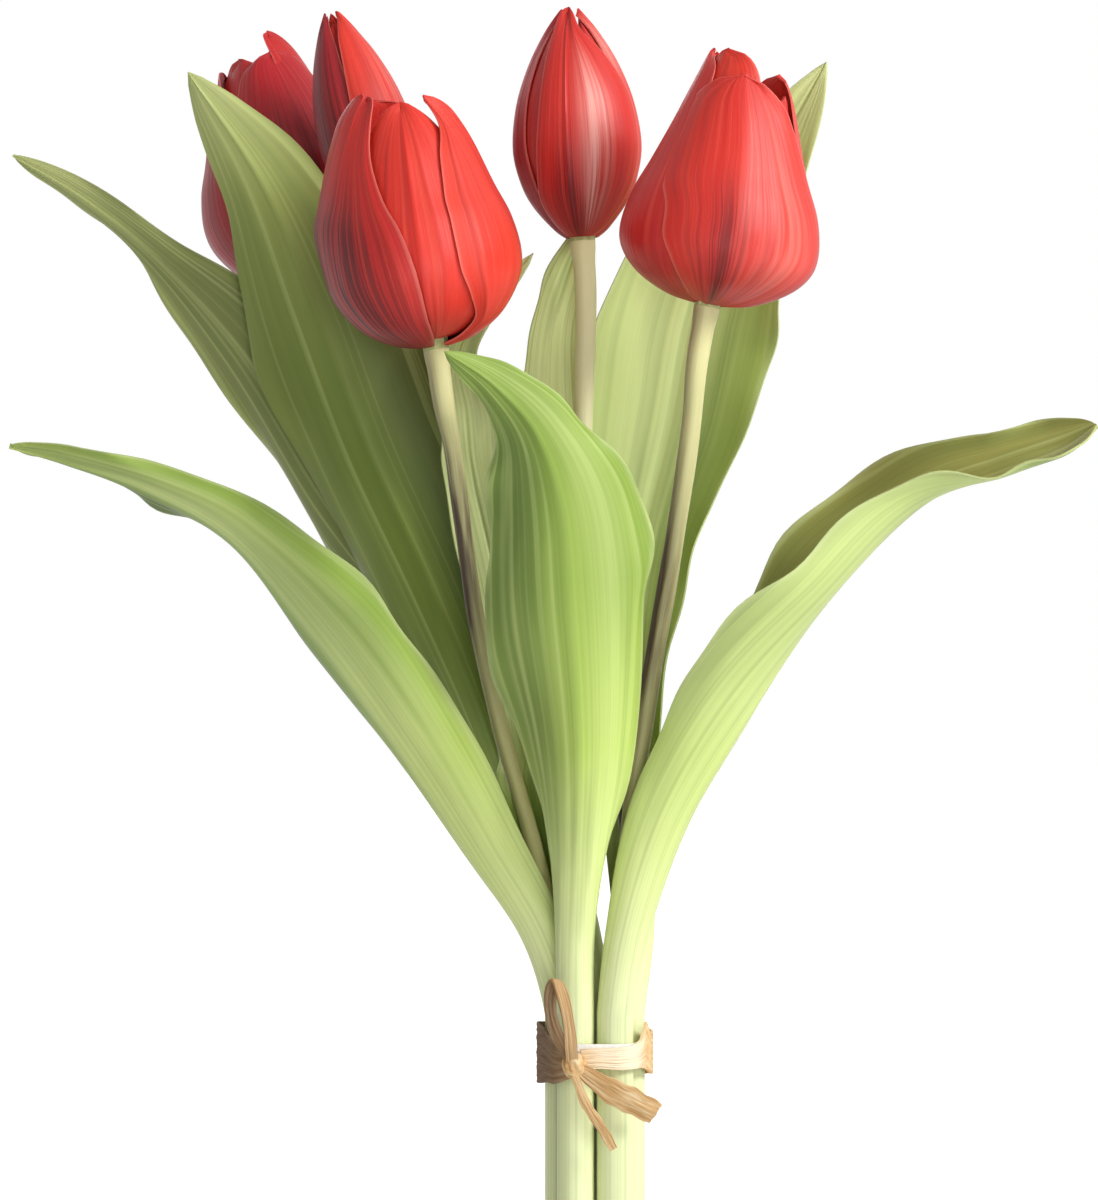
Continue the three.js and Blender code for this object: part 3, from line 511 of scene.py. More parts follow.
# A ribbed sheet that stands for a node; its place is (body, slot, material)
def ribbedSheet(node, suffix, place, grids, marks, look, ribCount, seed, looped=False):
    body, slot, skin = place
    piece = closedSheet(node + suffix, *grids, {"seed": seed, "side": (1, -1), **marks}, looped)
    throughTree(piece, ribs, {
        "ribCount": float(ribCount), "ribHeight": look["ribHeight"] * mm, "ribLength": float(look["ribLength"]),
        "marginFade": look["ribFade"], "ribSeed": float(seed), "material": skin})
    finishPiece(piece, node, body)


# Stalks and stems
stalk = {"stemRadius": 2.8, "sheathGap": 0.5, "sheathWall": 1.4, "sheathRoll": 164, "stalkGap": 0.4,
         "height": 138, "count": 5, "firstAngle": -126, "steer": 14, "stemRise": 3, "neckStraight": 14,
         "neckRadius": 3.2, "neckReach": 0.26}
sheathRadius = stalk["stemRadius"] + stalk["sheathGap"] + stalk["sheathWall"] / 2
stalkRadius = sheathRadius + stalk["sheathWall"] / 2
bunchRadius = (2 * stalkRadius + stalk["stalkGap"]) / (2 * math.sin(math.pi / stalk["count"]))


def stalkPlace(place):
    angle = math.radians(stalk["firstAngle"] + 360 / stalk["count"] * place)
    return np.array([bunchRadius * math.cos(angle), bunchRadius * math.sin(angle), stalk["height"]])


# Each tulip, measured from its stalk at the top of the straight part; its stem slims down to a share
# of its girth, with a brown flush, or a paler one that is painted light where the stem lies in shadow
# (place along, width, strength)
tulips = {
    "left_bloom": {
        "place": 4, "girth": 0.77, "flushAndPaintedLight": (0.84, 0.09, 1), "lean": (-9, -3, 62.7),
        "flower": (-31.2, -28.5, 165.2),
        "stem": [(-2.9, -0.9, 24), (-8.8, -4.5, 48), (-15.8, -9.5, 73), (-21.5, -15.5, 99),
                 (-27.6, -23.5, 143)]},
    "right_bloom": {
        "place": 1, "girth": 0.88, "flushAndPaintedLight": (0.755, 0.1, 0.8), "lean": (10.8, -2, 62),
        "flower": (22.3, -17.4, 175.7),
        "stem": [(2.4, -1.5, 25), (4.4, -3.4, 54), (8.4, -6.4, 82), (13.8, -9.4, 114), (18.5, -13.4, 146)]},
    "centre_bud": {
        # a paler flush painted as light near the head, where the stem lies in shadow
        "place": 0, "girth": 0.92, "flushAndPaintedLight": (0.93, 0.12, -0.8), "lean": (-3.3, 1, 58.9),
        "flower": (1.9, 18.6, 194.3),
        "stem": [(0.3, 1.6, 42), (1, 6.6, 91), (1.8, 12.6, 142)]},
    "back_bloom": {
        "place": 3, "girth": 0.9, "flushAndPaintedLight": (0.6, 0.15, 0.7), "lean": (-15, 4, 62),
        "flower": (-73.5, 57.8, 185.7),
        "stem": [(-3.4, 3, 22), (-9, 8.2, 42), (-25, 21, 78.5), (-44.7, 36, 119.5), (-60.6, 48, 156)]},
    "back_bud": {
        "place": 2, "girth": 0.9, "flushAndPaintedLight": (0.6, 0.15, 0.7), "lean": (-16.2, 3, 56),
        "flower": (-59.1, 28, 198),
        "stem": [(1.2, 1.3, 22), (0.8, 4, 42), (-3.5, 13, 83.8), (-20.3, 19, 126.8), (-38.8, 23.5, 162)]},
}


def stemRoute(tulip):
    mouth = stalkPlace(tulip["place"])
    base = mouth + tulip["flower"]
    points = [mouth * (1, 1, 0), mouth, mouth + (0, 0, stalk["stemRise"])]
    points += [mouth + place for place in tulip["stem"]]
    points += [base - unit(tulip["lean"]) * stalk["neckStraight"], base]
    return lambda t: stemCurve(points, np.atleast_1d(t)), 1 / (len(points) - 1)


# Shares of the stem's length where it slims down, fills out again and flares to the neck, and the
# painted shade on the side turned away from the key lamp: its strength, and how far a side has to turn
# to the left for all of it
stemLook = {"sides": 22, "rows": 90, "stalkRows": 8, "slimming": (0.4, 0.5), "filling": (0.9, 0.98),
            "flaring": (0.982, 0.998), "uneven": 0.05, "lumps": 31, "paintedSideShade": 0.55, "turned": (0, 0.9)}


def makeStem(name, tulip):
    route, stalkShare = stemRoute(tulip)
    t = np.concatenate([np.linspace(0, stalkShare, stemLook["stalkRows"], endpoint=False),
                        np.linspace(stalkShare, 1, stemLook["rows"])])
    centre, tangent = route(t), slopes(route, t)
    run = runAlong(centre)
    along = run / run[-1]
    free = smooth(*stemLook["slimming"], along) * (1 - smooth(*stemLook["filling"], along))
    lumps = stemLook["uneven"] * np.sin(along * stemLook["lumps"] + tulip["place"]) ** 2
    waist = (1 - tulip["girth"] + lumps) * free
    flare = (stalk["neckRadius"] / stalk["stemRadius"] - 1) * smooth(*stemLook["flaring"], along)
    middle, width, strength = tulip["flushAndPaintedLight"]
    flushAndPaintedLight = strength * np.exp(-((along - middle) / width) ** 2)
    seed = np.full(len(t), tulip["place"])
    marks = {"girth": 1 - waist + flare, "along": along, "flushAndPaintedLight": flushAndPaintedLight, "seed": seed}
    centre[-1] += tangent[-1] * stalk["neckReach"]
    mesh = bpy.data.meshes.new(name + "_stem_skin")
    mesh.from_pydata((centre * mm).tolist(), [(i, i + 1) for i in range(len(t) - 1)], [])
    for mark, values in marks.items():
        setMark(mesh, mark, values)
    piece = bpy.data.objects.new(mesh.name, mesh)
    scene.collection.objects.link(piece)
    throughTree(piece, stemTube, {
        "stemRadius": stalk["stemRadius"] * mm, "sides": stemLook["sides"], "material": stemSkin})
    shape = bmesh.new()
    shape.from_mesh(piece.data)
    bmesh.ops.recalc_face_normals(shape, faces=shape.faces)
    shape.to_mesh(piece.data)
    shape.free()
    normals = np.array([normal.vector[:] for normal in piece.data.vertex_normals])
    flushAndPaintedLight = np.empty(len(normals), np.float32)
    piece.data.attributes["flushAndPaintedLight"].data.foreach_get("value", flushAndPaintedLight)
    # painted shade: brown added on the side that faces left, away from the key lamp
    flushAndPaintedLight = flushAndPaintedLight + stemLook["paintedSideShade"] * smooth(*stemLook["turned"], -normals[:, 0])
    piece.data.attributes["flushAndPaintedLight"].data.foreach_set("value", flushAndPaintedLight.astype(np.float32))
    finishPiece(piece, name + "_stem", name)


for name, tulip in tulips.items():
    makeStem(name, tulip)
print("stems ready")

# Leaves: stations along the midrib (place, inner side's direction, half width, half roll in degrees).
# Painted shading lies on the (inner, outer) face: above 0 it paints shade, below 0 painted light; "bands"
# adds more of it from margin to margin, "lining" browns it, and an upper leaf clasps its stem at its
# "rise" above the stalk. In the look, starts, ends and bands are shares of the length or of the half
# width; a fine ripple is (share of the ripple, times the waves, skew), a frill (share, times the waves,
# times the seed, shift between the margins).
leafLook = {
    "wall": 1.2, "margin": 0.5, "claspWall": 1, "claspDrop": 10, "claspSpread": 1.5, "claspOpening": 0.8,
    "columns": 64, "perSpan": 12, "stalkRows": 7, "bladeLength": 250, "upperAge": 0.3, "bladeStart": (0.25, 0.4),
    "tip": (0.955, 0.045), "tipLeast": 0.0004, "waves": 3.5, "skew": 1.7, "rippleStart": (0.2, 0.55),
    "fineRipple": (0.4, 2.4, 2.5), "keel": 0.45, "keelStart": (0.05, 0.3), "keelWidth": 0.07,
    "frill": 0.06, "frills": [(1, 1.1, 2, 2.2), (0.6, 2.7, 1, -1.4)], "rimBand": (0.93, 0.99),
    "paintedShadingStart": (0.18, 0.4), "paintedShadingEnd": (0.72, 0.95), "paintedShadingLoss": 0.7, "liningStart": (0.3, 0.5),
    "ribRoom": 0.12, "halfWidth": 21, "ribSpacing": 2.2, "ribHeight": 0.22, "ribLength": 2, "ribFade": 0.12}
usualLeaf = {"lining": (0, 0), "bands": [0, 0, 0, 0, 0], "rim": 1}
leaves = {
    "left_bloom_leaf": {
        "tulip": "left_bloom", "back": (-1, -0.5, 0), "ripple": 3.6, "tone": (-0.2, -0.2),
        "bands": [0.35, -0.1, -0.3, 0.9, 1], "stations": [
        ((-9.4, -4.3, 19.5), (0.8, 0.5, 0.25), 12, 120), ((-22, -9.5, 40), (0.65, 0.55, 0.5), 14.5, 82),
        ((-39.8, -15.5, 67.5), (0.62, 0.55, 0.55), 19, 66), ((-60, -19.5, 95), (0.6, 0.55, 0.55), 21.5, 58),
        ((-80.8, -22, 119.2), (0.5, 0.5, 0.7), 13.4, 50), ((-102, -23.5, 131.5), (0.3, 0.5, 0.8), 8.2, 42),
        ((-121.5, -24.5, 138.2), (0.2, 0.5, 0.85), 5.5, 36), ((-136, -25.5, 142), (0.2, 0.5, 0.85), 1.2, 30)]},
    "left_bloom_upper_leaf": {
        "tulip": "left_bloom", "back": (0.25, 1, 0.21), "ripple": 1, "tone": (-1, 0.3),
        "rise": 36, "clasp": 92, "stations": [
        ((-10, 6, 66), (-0.2, -1, 0), 7, 58), ((-15.5, 5.5, 102), (-0.15, -1, 0), 8, 40),
        ((-22.5, 2.5, 134), (-0.1, -1, 0.1), 7.2, 34), ((-24.5, -1.5, 150), (0.1, -1, 0.2), 7.4, 32),
        ((-25.5, -4.5, 168), (0.2, -0.9, 0.4), 4.8, 30), ((-7.6, -11.5, 190), (0.3, -0.9, 0.4), 1.2, 26)]},
    "right_bloom_leaf": {
        "tulip": "right_bloom", "back": (1, -0.55, 0), "ripple": 2.4, "tone": (0.1, -0.5),
        "lining": (0.8, 0), "stations": [
        ((7.2, -4.6, 22), (-0.75, 0.6, 0.2), 12.2, 131), ((16.5, -7.5, 49), (-0.65, 0.5, 0.45), 15.8, 98),
        ((31.5, -11.5, 74.5), (-0.68, 0.35, 0.6), 21, 86), ((51, -15.5, 103.5), (-0.68, -0.16, 0.7), 25.5, 84),
        ((74, -18.5, 127.3), (-0.5, -0.2, 0.85), 19, 72), ((94, -20.5, 136.3), (-0.3, -0.5, 0.8), 11.4, 54),
        ((108.5, -23, 141.5), (-0.2, -0.6, 0.8), 9.2, 38), ((117.2, -25.5, 146.6), (-0.2, -0.6, 0.8), 2.4, 30)]},
    "centre_bud_leaf": {
        "tulip": "centre_bud", "back": (-0.1, -1, 0), "ripple": 2.8, "tone": (0.1, 0.1),
        "bands": [0, -0.3, 0, 0.6, 0.5], "stations": [
        ((-0.4, -5.8, 20), (0.05, 1, 0.2), 11, 136), ((0.2, -14.4, 42.4), (0.05, 1, 0.25), 11.8, 90),
        ((0.5, -21.4, 69.7), (0.02, 1, 0.25), 16.5, 50), ((-1.8, -29.4, 101.6), (-0.05, 1, 0.25), 21.4, 34),
        ((-4, -36.4, 126.5), (0, 1, 0.25), 19.3, 32), ((-9.6, -42, 143.8), (0.1, 1, 0.2), 11.6, 32),
        ((-19.7, -45.8, 155.5), (0.1, 1, 0.1), 6, 30), ((-31.6, -48.8, 163.5), (0.1, 1, 0.1), 1.2, 26)]},
    "centre_bud_upper_leaf": {
        "tulip": "centre_bud", "back": (0, 1, -0.1), "ripple": 1.2, "tone": (-1, 0.2),
        "rise": 58, "clasp": 86, "stations": [
        ((0.4, 14, 108), (0, -1, 0.1), 9, 42), ((-5.5, 17.5, 138), (0.1, -1, 0.1), 9.2, 34),
        ((-6.4, 23.5, 168), (0.4, -1, 0), 7.5, 32), ((-2, 28, 187), (0.4, -1, 0), 5.5, 30),
        ((4.6, 31.5, 203), (0.4, -1, 0), 1.2, 26)]},
    "back_bloom_leaf": {
        "tulip": "back_bloom", "back": (-1, -0.35, 0), "ripple": 2.6, "tone": (0.5, 0.45),
        "lining": (0, 0.2), "bands": [0.5, 0.3, 0, 0.12, 0.3], "rim": 0, "stations": [
        ((-8, 0.8, 21), (0.8, 0.5, 0.2), 11.5, 130), ((-18.5, 3.5, 48.4), (0.6, 0.8, 0.3), 14, 76),
        ((-28.9, 5, 78.7), (0.4, 0.9, 0.25), 18, 46), ((-41.5, 4.4, 109), (0.3, 0.95, 0.2), 20.5, 36),
        ((-56.6, 2.8, 141.8), (0.25, 0.95, 0.1), 21, 32), ((-69.8, 0.2, 177), (0.2, 0.95, 0.1), 20.5, 30),
        ((-83.6, -1.8, 209), (0.2, 0.95, 0.1), 13.2, 28), ((-102, -3.2, 236.5), (0.2, 0.95, 0.1), 2.2, 24)]},
    "back_bloom_upper_leaf": {
        "tulip": "back_bloom", "back": (-0.8, -0.55, -0.16), "ripple": 3.2, "tone": (0.45, 0.7),
        "lining": (0, 0.3), "bands": [0.25, 0.2, 0.1, 0, -0.1], "rise": 40, "clasp": 80, "stations": [
        ((-29.5, 14, 70), (0.5, 0.8, 0.3), 11, 52), ((-47.5, 17, 103.4), (0.4, 0.85, 0.35), 11.8, 40),
        ((-66.8, 17.5, 133.6), (0.4, 0.85, 0.35), 18.2, 34), ((-88.5, 15, 167.5), (0.4, 0.85, 0.35), 15, 32),
        ((-110, 13, 190.6), (0.3, 0.85, 0.4), 6.6, 30), ((-130.3, 12, 206.8), (0.3, 0.85, 0.4), 4.2, 28),
        ((-147.5, 12, 217), (0.3, 0.85, 0.4), 1.2, 24)]},
    "back_bud_leaf": {
        "tulip": "back_bud", "back": (1, 0.4, 0), "ripple": 2, "tone": (-0.35, 0.2),
        "bands": [-0.1, -0.25, -0.3, 0.15, 0.3], "stations": [
        ((6, 4.2, 21), (-1, -0.5, 0.2), 11.5, 130), ((4.4, 13, 48.5), (-0.6, -0.9, 0.2), 11, 80),
        ((2, 21, 84), (-0.3, -1, 0.15), 10.5, 50), ((4, 25, 116), (-0.2, -1, 0.1), 15, 38),
        ((11.5, 26.5, 149.8), (-0.1, -1, 0), 22, 32), ((18.8, 26, 183), (-0.1, -1, 0), 22.3, 30),
        ((37.2, 22, 215.7), (-0.1, -1, 0), 11, 28), ((51, 17, 240.5), (-0.1, -1, 0), 1.6, 24)]},
}


def rolledStation(axisPoint, back, roll, radius, wall):
    outward = unit(back)
    return (*(axisPoint + outward * radius), *(-outward), radius * math.radians(roll), roll, wall, wall)


def pointAtHeight(route, height):
    points = route(np.linspace(0, 1, 4001))
    return points[np.searchsorted(points[:, 2], height)]


def leafStations(leaf, mouth, route):
    blade = [(*(mouth + at), *unit(face), half, roll, leafLook["wall"], leafLook["margin"])
             for at, face, half, roll in leaf["stations"]]
    if "rise" not in leaf:
        top = rolledStation(mouth, leaf["back"], stalk["sheathRoll"], sheathRadius, stalk["sheathWall"])
        steer = (*top[:2], mouth[2] - stalk["steer"], *top[3:])
        return [steer, top] + blade, 1
    wall, drop = leafLook["claspWall"], leafLook["claspDrop"]
    radius = stalk["stemRadius"] + stalk["sheathGap"] + wall / 2
    clasps = []
    opened = (2 * drop, leafLook["claspOpening"], leafLook["claspSpread"])
    for up, opening, spread in ((-drop, 1, 1), (0, 1, 1), opened):
        held = pointAtHeight(route, mouth[2] + leaf["rise"] + up)
        clasps.append(rolledStation(held, leaf["back"], leaf["clasp"] * opening, radius * spread, wall))
    return clasps + blade, 0


def makeLeaf(name, leaf, seed):
    leaf = {**usualLeaf, **leaf}
    tulip = tulips[leaf["tulip"]]
    route, _ = stemRoute(tulip)
    stations, first = leafStations(leaf, stalkPlace(tulip["place"]), route)
    table = np.array(stations)
    count = len(stations) - 1
    t = np.linspace(first / count, 1, (count - first) * leafLook["perSpan"] + 1)
    values, tangent, inward = alongStations(table, t)
    middle, (half, roll, wall, margin) = values[:, :3], values[:, 6:].T
    roll = np.radians(roll)
    along, run = np.linspace(0, 1, len(t)), runAlong(middle)
    if first:
        steps = np.linspace(0, 1, leafLook["stalkRows"], endpoint=False)
        foot = middle[0] * (1, 1, 0)
        middle = np.concatenate([foot + (middle[0] - foot) * steps[:, None], middle])
        tangent = np.concatenate([np.tile((0, 0, 1), (len(steps), 1)), tangent])
        inward, half, roll, wall, margin, along, run = [
            np.concatenate([np.repeat(part[:1], len(steps), axis=0), part])
            for part in (inward, half, roll, wall, margin, along, run)]
    tipStart, tipLength = leafLook["tip"]
    tip = np.clip((along - tipStart) / tipLength, 0, 1)
    half = half * np.sqrt(np.maximum(1 - tip ** 2, leafLook["tipLeast"]))

    # ripples and frills of the margins, and the keel along the midrib
    share = np.linspace(-1, 1, leafLook["columns"] + 1)
    edge, margins = np.abs(share)[None], np.sign(share)
    grown = smooth(*leafLook["bladeStart"], along)[:, None]
    fade = (smooth(*leafLook["rippleStart"], along) * (1 - along ** 3))[:, None]
    wave = 2 * math.pi * leafLook["waves"] * along[:, None]
    high, often, skew = leafLook["fineRipple"]
    lift = leaf["ripple"] * fade * (edge ** 3 * np.sin(wave + leafLook["skew"] * share)
                                    + high * edge ** 5 * np.sin(often * wave + seed + skew * share))
    keel = leafLook["keel"] * smooth(*leafLook["keelStart"], along)[:, None]
    lift = lift - keel * np.exp(-(share / leafLook["keelWidth"]) ** 2)[None]
    frills = sum(high * np.sin(often * wave + seeds * seed + shift * margins)
                 for high, often, seeds, shift in leafLook["frills"])
    share = share[None] * (1 + leafLook["frill"] * fade * edge ** 2 * frills)

    turn = roll[:, None] * share
    radius = (half / roll)[:, None]
    across, inward = unit(np.cross(tangent, inward))[:, None], inward[:, None]
    normal = inward * np.cos(turn)[..., None] - across * np.sin(turn)[..., None]
    centre = (middle[:, None] + across * (radius * np.sin(turn))[..., None]
              + inward * (radius * (1 - np.cos(turn)))[..., None] + normal * lift[..., None])
    thick = (wall[:, None] + (margin - wall)[:, None] * edge ** 2) / 2 - leafLook["ribRoom"] * (1 - grown)

    blade = np.clip(run / leafLook["bladeLength"], 0, 1)
    if "rise" in leaf:
        blade = np.clip(blade + leafLook["upperAge"], 0, 1)
    # a painted highlight along the margins, left off where a leaf's rim is 0
    rim = leaf["rim"] * smooth(*leafLook["rimBand"], edge) * grown
    # painted shade and light set in above the foot and grow weaker towards the tip
    paintedShadingTaper = 1 - leafLook["paintedShadingLoss"] * smooth(*leafLook["paintedShadingEnd"], along)
    shown = (smooth(*leafLook["paintedShadingStart"], along) * paintedShadingTaper)[:, None]
    lined = smooth(*leafLook["liningStart"], along)[:, None]
    places = np.linspace(0, 1, leafLook["columns"] + 1)
    bands = evenCurve(np.array(leaf["bands"])[:, None], places)[None, :, 0]
    marks = {"across": share, "along": along[:, None], "blade": blade[:, None], "rim": rim,
             "tone": tuple((tone + bands) * shown for tone in leaf["tone"]),
             "lining": tuple(part * lined for part in leaf["lining"])}
    reach = normal * thick[..., None]
    ribbedSheet(name, "_blade", (leaf["tulip"], "leaf", leafSkin), (centre + reach, centre - reach), marks,
                leafLook, leafLook["halfWidth"] / leafLook["ribSpacing"], seed)


for seed, (name, leaf) in enumerate(leaves.items()):
    makeLeaf(name, leaf, 3 * seed + 1)
print("leaves ready")

# Flowers: the outer petals' profile as shares of radius and height, and each head's petals. Starts,
# ends and bands are shares of a petal's length or half width; swell and lump are (mm, waves, times the
# seed), the crease is (mm, width)
flower = {
    "petalThickness": 1, "marginThickness": 0.36, "whorlGap": 0.9, "neckRadius": 3.2, "seatGap": 0.3,
    "rows": 72, "columns": 72, "bend": (0.72, 0.28), "swell": (0.25, 3.1, 1), "swellStart": (0.05, 0.3),
    "swellLoss": 0.5, "innerSwell": 0.4, "crease": (0.06, 0.12), "lapBand": (0.5, 0.95), "lapStart": (0, 0.15),
    "foldEnds": (0.2, 0.25), "foldPower": 1.4, "lump": (0.7, 4.2, 2.1), "lumpStart": (0.75, 1),
    "tipRise": (0.6, 1), "tipThin": (0.85, 1), "tipThinner": 0.5, "rimBand": (0.955, 0.99),
    "markStart": (0.15, 0.1), "markEnd": (0.2, 0.12), "footBand": (0.12, 0.4),
    "halfWidth": 28, "ribSpacing": 1.1, "ribHeight": 0.24, "ribLength": 1.6, "ribFade": 0.2}
heads = {
    "bloom": {"height": 63, "radius": 24.4, "innerReach": 1,
              "profile": [(0.43, 0.045), (0.72, 0.115), (0.93, 0.225), (1, 0.335), (0.95, 0.475),
                          (0.83, 0.6), (0.675, 0.77), (0.51, 0.91), (0.39, 1)],
              "edge": [58, 66, 66, 62, 54, 46], "tipStart": 0.82, "tipPower": 0.5},
    "bud": {"height": 58.5, "radius": 16.4, "innerReach": 0.93,
            "profile": [(0.44, 0.065), (0.74, 0.17), (0.91, 0.275), (1, 0.42),
                        (0.905, 0.61), (0.68, 0.78), (0.41, 0.91), (0.17, 1)],
            "edge": [60, 66, 66, 62, 56, 50], "tipStart": 0.78, "tipPower": 0.55},
}
heads["slimBud"] = {**heads["bud"], "radius": 12.6}
heads["coneBloom"] = {**heads["bloom"], "profile": [
    (0.45, 0.04), (0.76, 0.1), (0.95, 0.18), (1, 0.27), (0.94, 0.4), (0.81, 0.53), (0.66, 0.69),
    (0.53, 0.84), (0.4, 1)]}
flowers = {
    "left_bloom": {"head": "bloom", "turn": -60},
    "right_bloom": {"head": "coneBloom", "turn": 12},
    "centre_bud": {"head": "bud", "turn": -5},
    "back_bloom": {"head": "bloom", "turn": 20},
    "back_bud": {"head": "slimBud", "turn": 55},
}

# A petal's own values: half angles of its left and right edges from foot to tip, how far these stand
# out (laps, mm), the share of the length it reaches, where the tip starts to round off, the tip turned
# sideways (degrees), outwards and up (mm), folds (place, width, height in mm, from, to), how orange
# it is, which is partly painted light (lit petals more orange, shaded ones more crimson), its painted
# highlight and its maroon parts, partly printed streaks and partly painted shade (place across, width,
# strength, from, to) and how dark its foot is
usualPetal = {"laps": (-0.75, 0.35), "reach": 1, "tipTurn": 0, "tipOut": 0, "tipUp": 0, "folds": [],
              "warm": 0.4, "stain": (0, 0.8, 0.25, 0, 0.4), "pale": (0, 0.5, 0, 0, 1), "foot": 0.2}
petals = {
    # the left petal's maroon is partly its printed streaks and partly painted shade; the right one is painted
    # orange as light
    "left_bloom_outer_petal_1": {
        "right": [58, 60, 58, 57, 55, 49, 38, 26, 21, 20], "laps": (0.3, 0.1), "tipStart": 0.93, "warm": 0.5,
        "stain": (-0.2, 0.75, 1.6, 0, 0.68), "foot": 0.3,
        "folds": [(0.82, 0.08, 0.35, 0.1, 1), (-0.5, 0.55, 3.6, 0.42, 1.1)]},
    "left_bloom_outer_petal_2": {
        "left": [22, 16, 16, 28, 36, 38, 38, 37, 29, 9, 5], "right": [58, 62, 64, 62, 58, 54, 48, 44, 40, 34],
        "laps": (-0.35, 0.3), "reach": 0.945, "tipStart": 0.92, "tipTurn": -27, "tipOut": 0.6, "warm": 0.95,
        "stain": (0.62, 0.25, 0.75, 0.3, 0.75), "foot": 0, "folds": [(-0.62, 0.12, 0.5, 0.1, 1)]},
    "left_bloom_outer_petal_3": {"reach": 0.86, "laps": (-0.75, -0.75)},
    "left_bloom_inner_petal_1": {
        "reach": 0.95, "tipStart": 0.8, "warm": 0.85, "stain": (0, 0.5, 0, 0, 0.4), "foot": 0,
        "folds": [(0, 0.045, 0.45, 0.1, 1), (0.2, 0.05, 0.3, 0.1, 1), (0.06, 0.5, 0.7, 0.1, 1)]},
    "left_bloom_inner_petal_2": {"reach": 0.82, "warm": 0.6},
    "left_bloom_inner_petal_3": {"left": [58, 66, 66, 66, 68, 72], "tipStart": 0.93, "warm": 0.55},
    "right_bloom_outer_petal_1": {
        "left": [36, 38, 40, 43, 48, 51, 64, 70, 70, 62], "right": [48, 52, 60, 68, 72, 70, 62, 54, 48, 42],
        "laps": (-0.1, 0.8), "reach": 0.93, "tipStart": 0.9, "tipTurn": -16, "warm": 0.7, "foot": 0.3,
        "pale": (0.42, 0.34, 0.32, 0.2, 0.85), "stain": (-0.22, 0.3, 0.75, 0.05, 0.66),
        "folds": [(-0.08, 0.16, 0.8, 0.1, 1)]},
    "right_bloom_outer_petal_2": {"reach": 0.95, "laps": (-0.75, 0.3), "warm": 0.8, "tipStart": 0.88},
    "right_bloom_outer_petal_3": {
        "right": [70, 82, 86, 82, 70, 50], "laps": (-0.75, -0.75), "reach": 0.99, "tipStart": 0.94, "warm": 0.45,
        "stain": (0.3, 0.6, 0.3, 0, 0.4)},
    "right_bloom_inner_petal_1": {"reach": 0.9, "warm": 0.6},
    "right_bloom_inner_petal_2": {"reach": 0.92, "warm": 0.6},
    "right_bloom_inner_petal_3": {
        "left": [58, 66, 66, 66, 68, 70], "right": [58, 66, 66, 66, 68, 70], "tipStart": 0.9, "warm": 1},
    "centre_bud_outer_petal_1": {
        "left": [58, 58, 50, 40, 34, 32, 33, 36, 40], "right": [60, 66, 70, 74, 74, 72, 52, 24, 22],
        "laps": (0, 0.3), "tipStart": 0.94, "warm": 0.55, "pale": (0.3, 0.17, 1.2, 0.15, 0.76),
        "stain": (-0.1, 0.5, 0.75, 0, 0.5), "folds": [(-0.15, 0.05, 0.3, 0.1, 1), (0.3, 0.2, 0.3, 0.1, 1)]},
    "centre_bud_outer_petal_2": {
        "laps": (-0.75, 0.3), "warm": 0.7, "pale": (-0.8, 0.3, 0.9, 0.72, 0.95), "stain": (0, 0.7, 0.3, 0, 0.3)},
    # the bud's left petal is painted crimson and maroon as shade
    "centre_bud_outer_petal_3": {"laps": (-0.75, -0.75), "warm": 0, "stain": (0, 0.7, 0.6, 0, 0.6)},
    # the back bloom is painted crimson with maroon as shade, as it lies behind the front flowers
    "back_bloom_outer_petal_1": {
        "reach": 0.96, "tipStart": 0.9, "warm": 0, "stain": (0, 0.9, 0.7, 0, 0.85)},
    "back_bloom_outer_petal_2": {"reach": 0.92, "warm": 0.1},
    "back_bloom_outer_petal_3": {"reach": 0.95, "warm": 0, "stain": (0, 0.9, 0.7, 0, 0.85)},
    "back_bloom_inner_petal_1": {"tipTurn": -46, "tipUp": 5.5, "tipStart": 0.74, "warm": 0.3},
    "back_bloom_inner_petal_2": {"reach": 0.9, "warm": 0.1},
    "back_bloom_inner_petal_3": {"tipStart": 0.9, "warm": 0.2},
    # the back bud's right petal is painted orange as light, its left one crimson and maroon as shade
    "back_bud_outer_petal_1": {
        "laps": (0.3, 0.3), "warm": 0.9, "pale": (0, 0.3, 0.35, 0.3, 0.8), "stain": (-0.4, 0.6, 0.3, 0, 0.6)},
    "back_bud_outer_petal_2": {"laps": (-0.75, 0.3), "warm": 0.7},
    "back_bud_outer_petal_3": {"laps": (-0.75, -0.75), "warm": 0, "stain": (0, 0.9, 1, 0, 1.2)},
}


def petalLine(head, inset, reach):
    thick, gap = flower["petalThickness"], flower["seatGap"]
    start = np.array([flower["neckRadius"] + gap, gap + thick])
    line = [start] + [(r * head["radius"] - thick / 2, h * head["height"]) for r, h in head["profile"]]

    def place(t):
        run = slopes(lambda s: evenCurve(line, s, "held"), t)
        outward = np.stack([run[:, 1], -run[:, 0]], 1)
        return evenCurve(line, t, "held") - outward * inset, outward

    # the petal starts where its inner face clears the neck
    t = np.linspace(0, 0.3, 3001)
    point, outward = place(t)
    clear = np.argmax(point[:, 0] - outward[:, 0] * thick / 2 > start[0])
    return lambda s: place(t[clear] + (reach - t[clear]) * s)


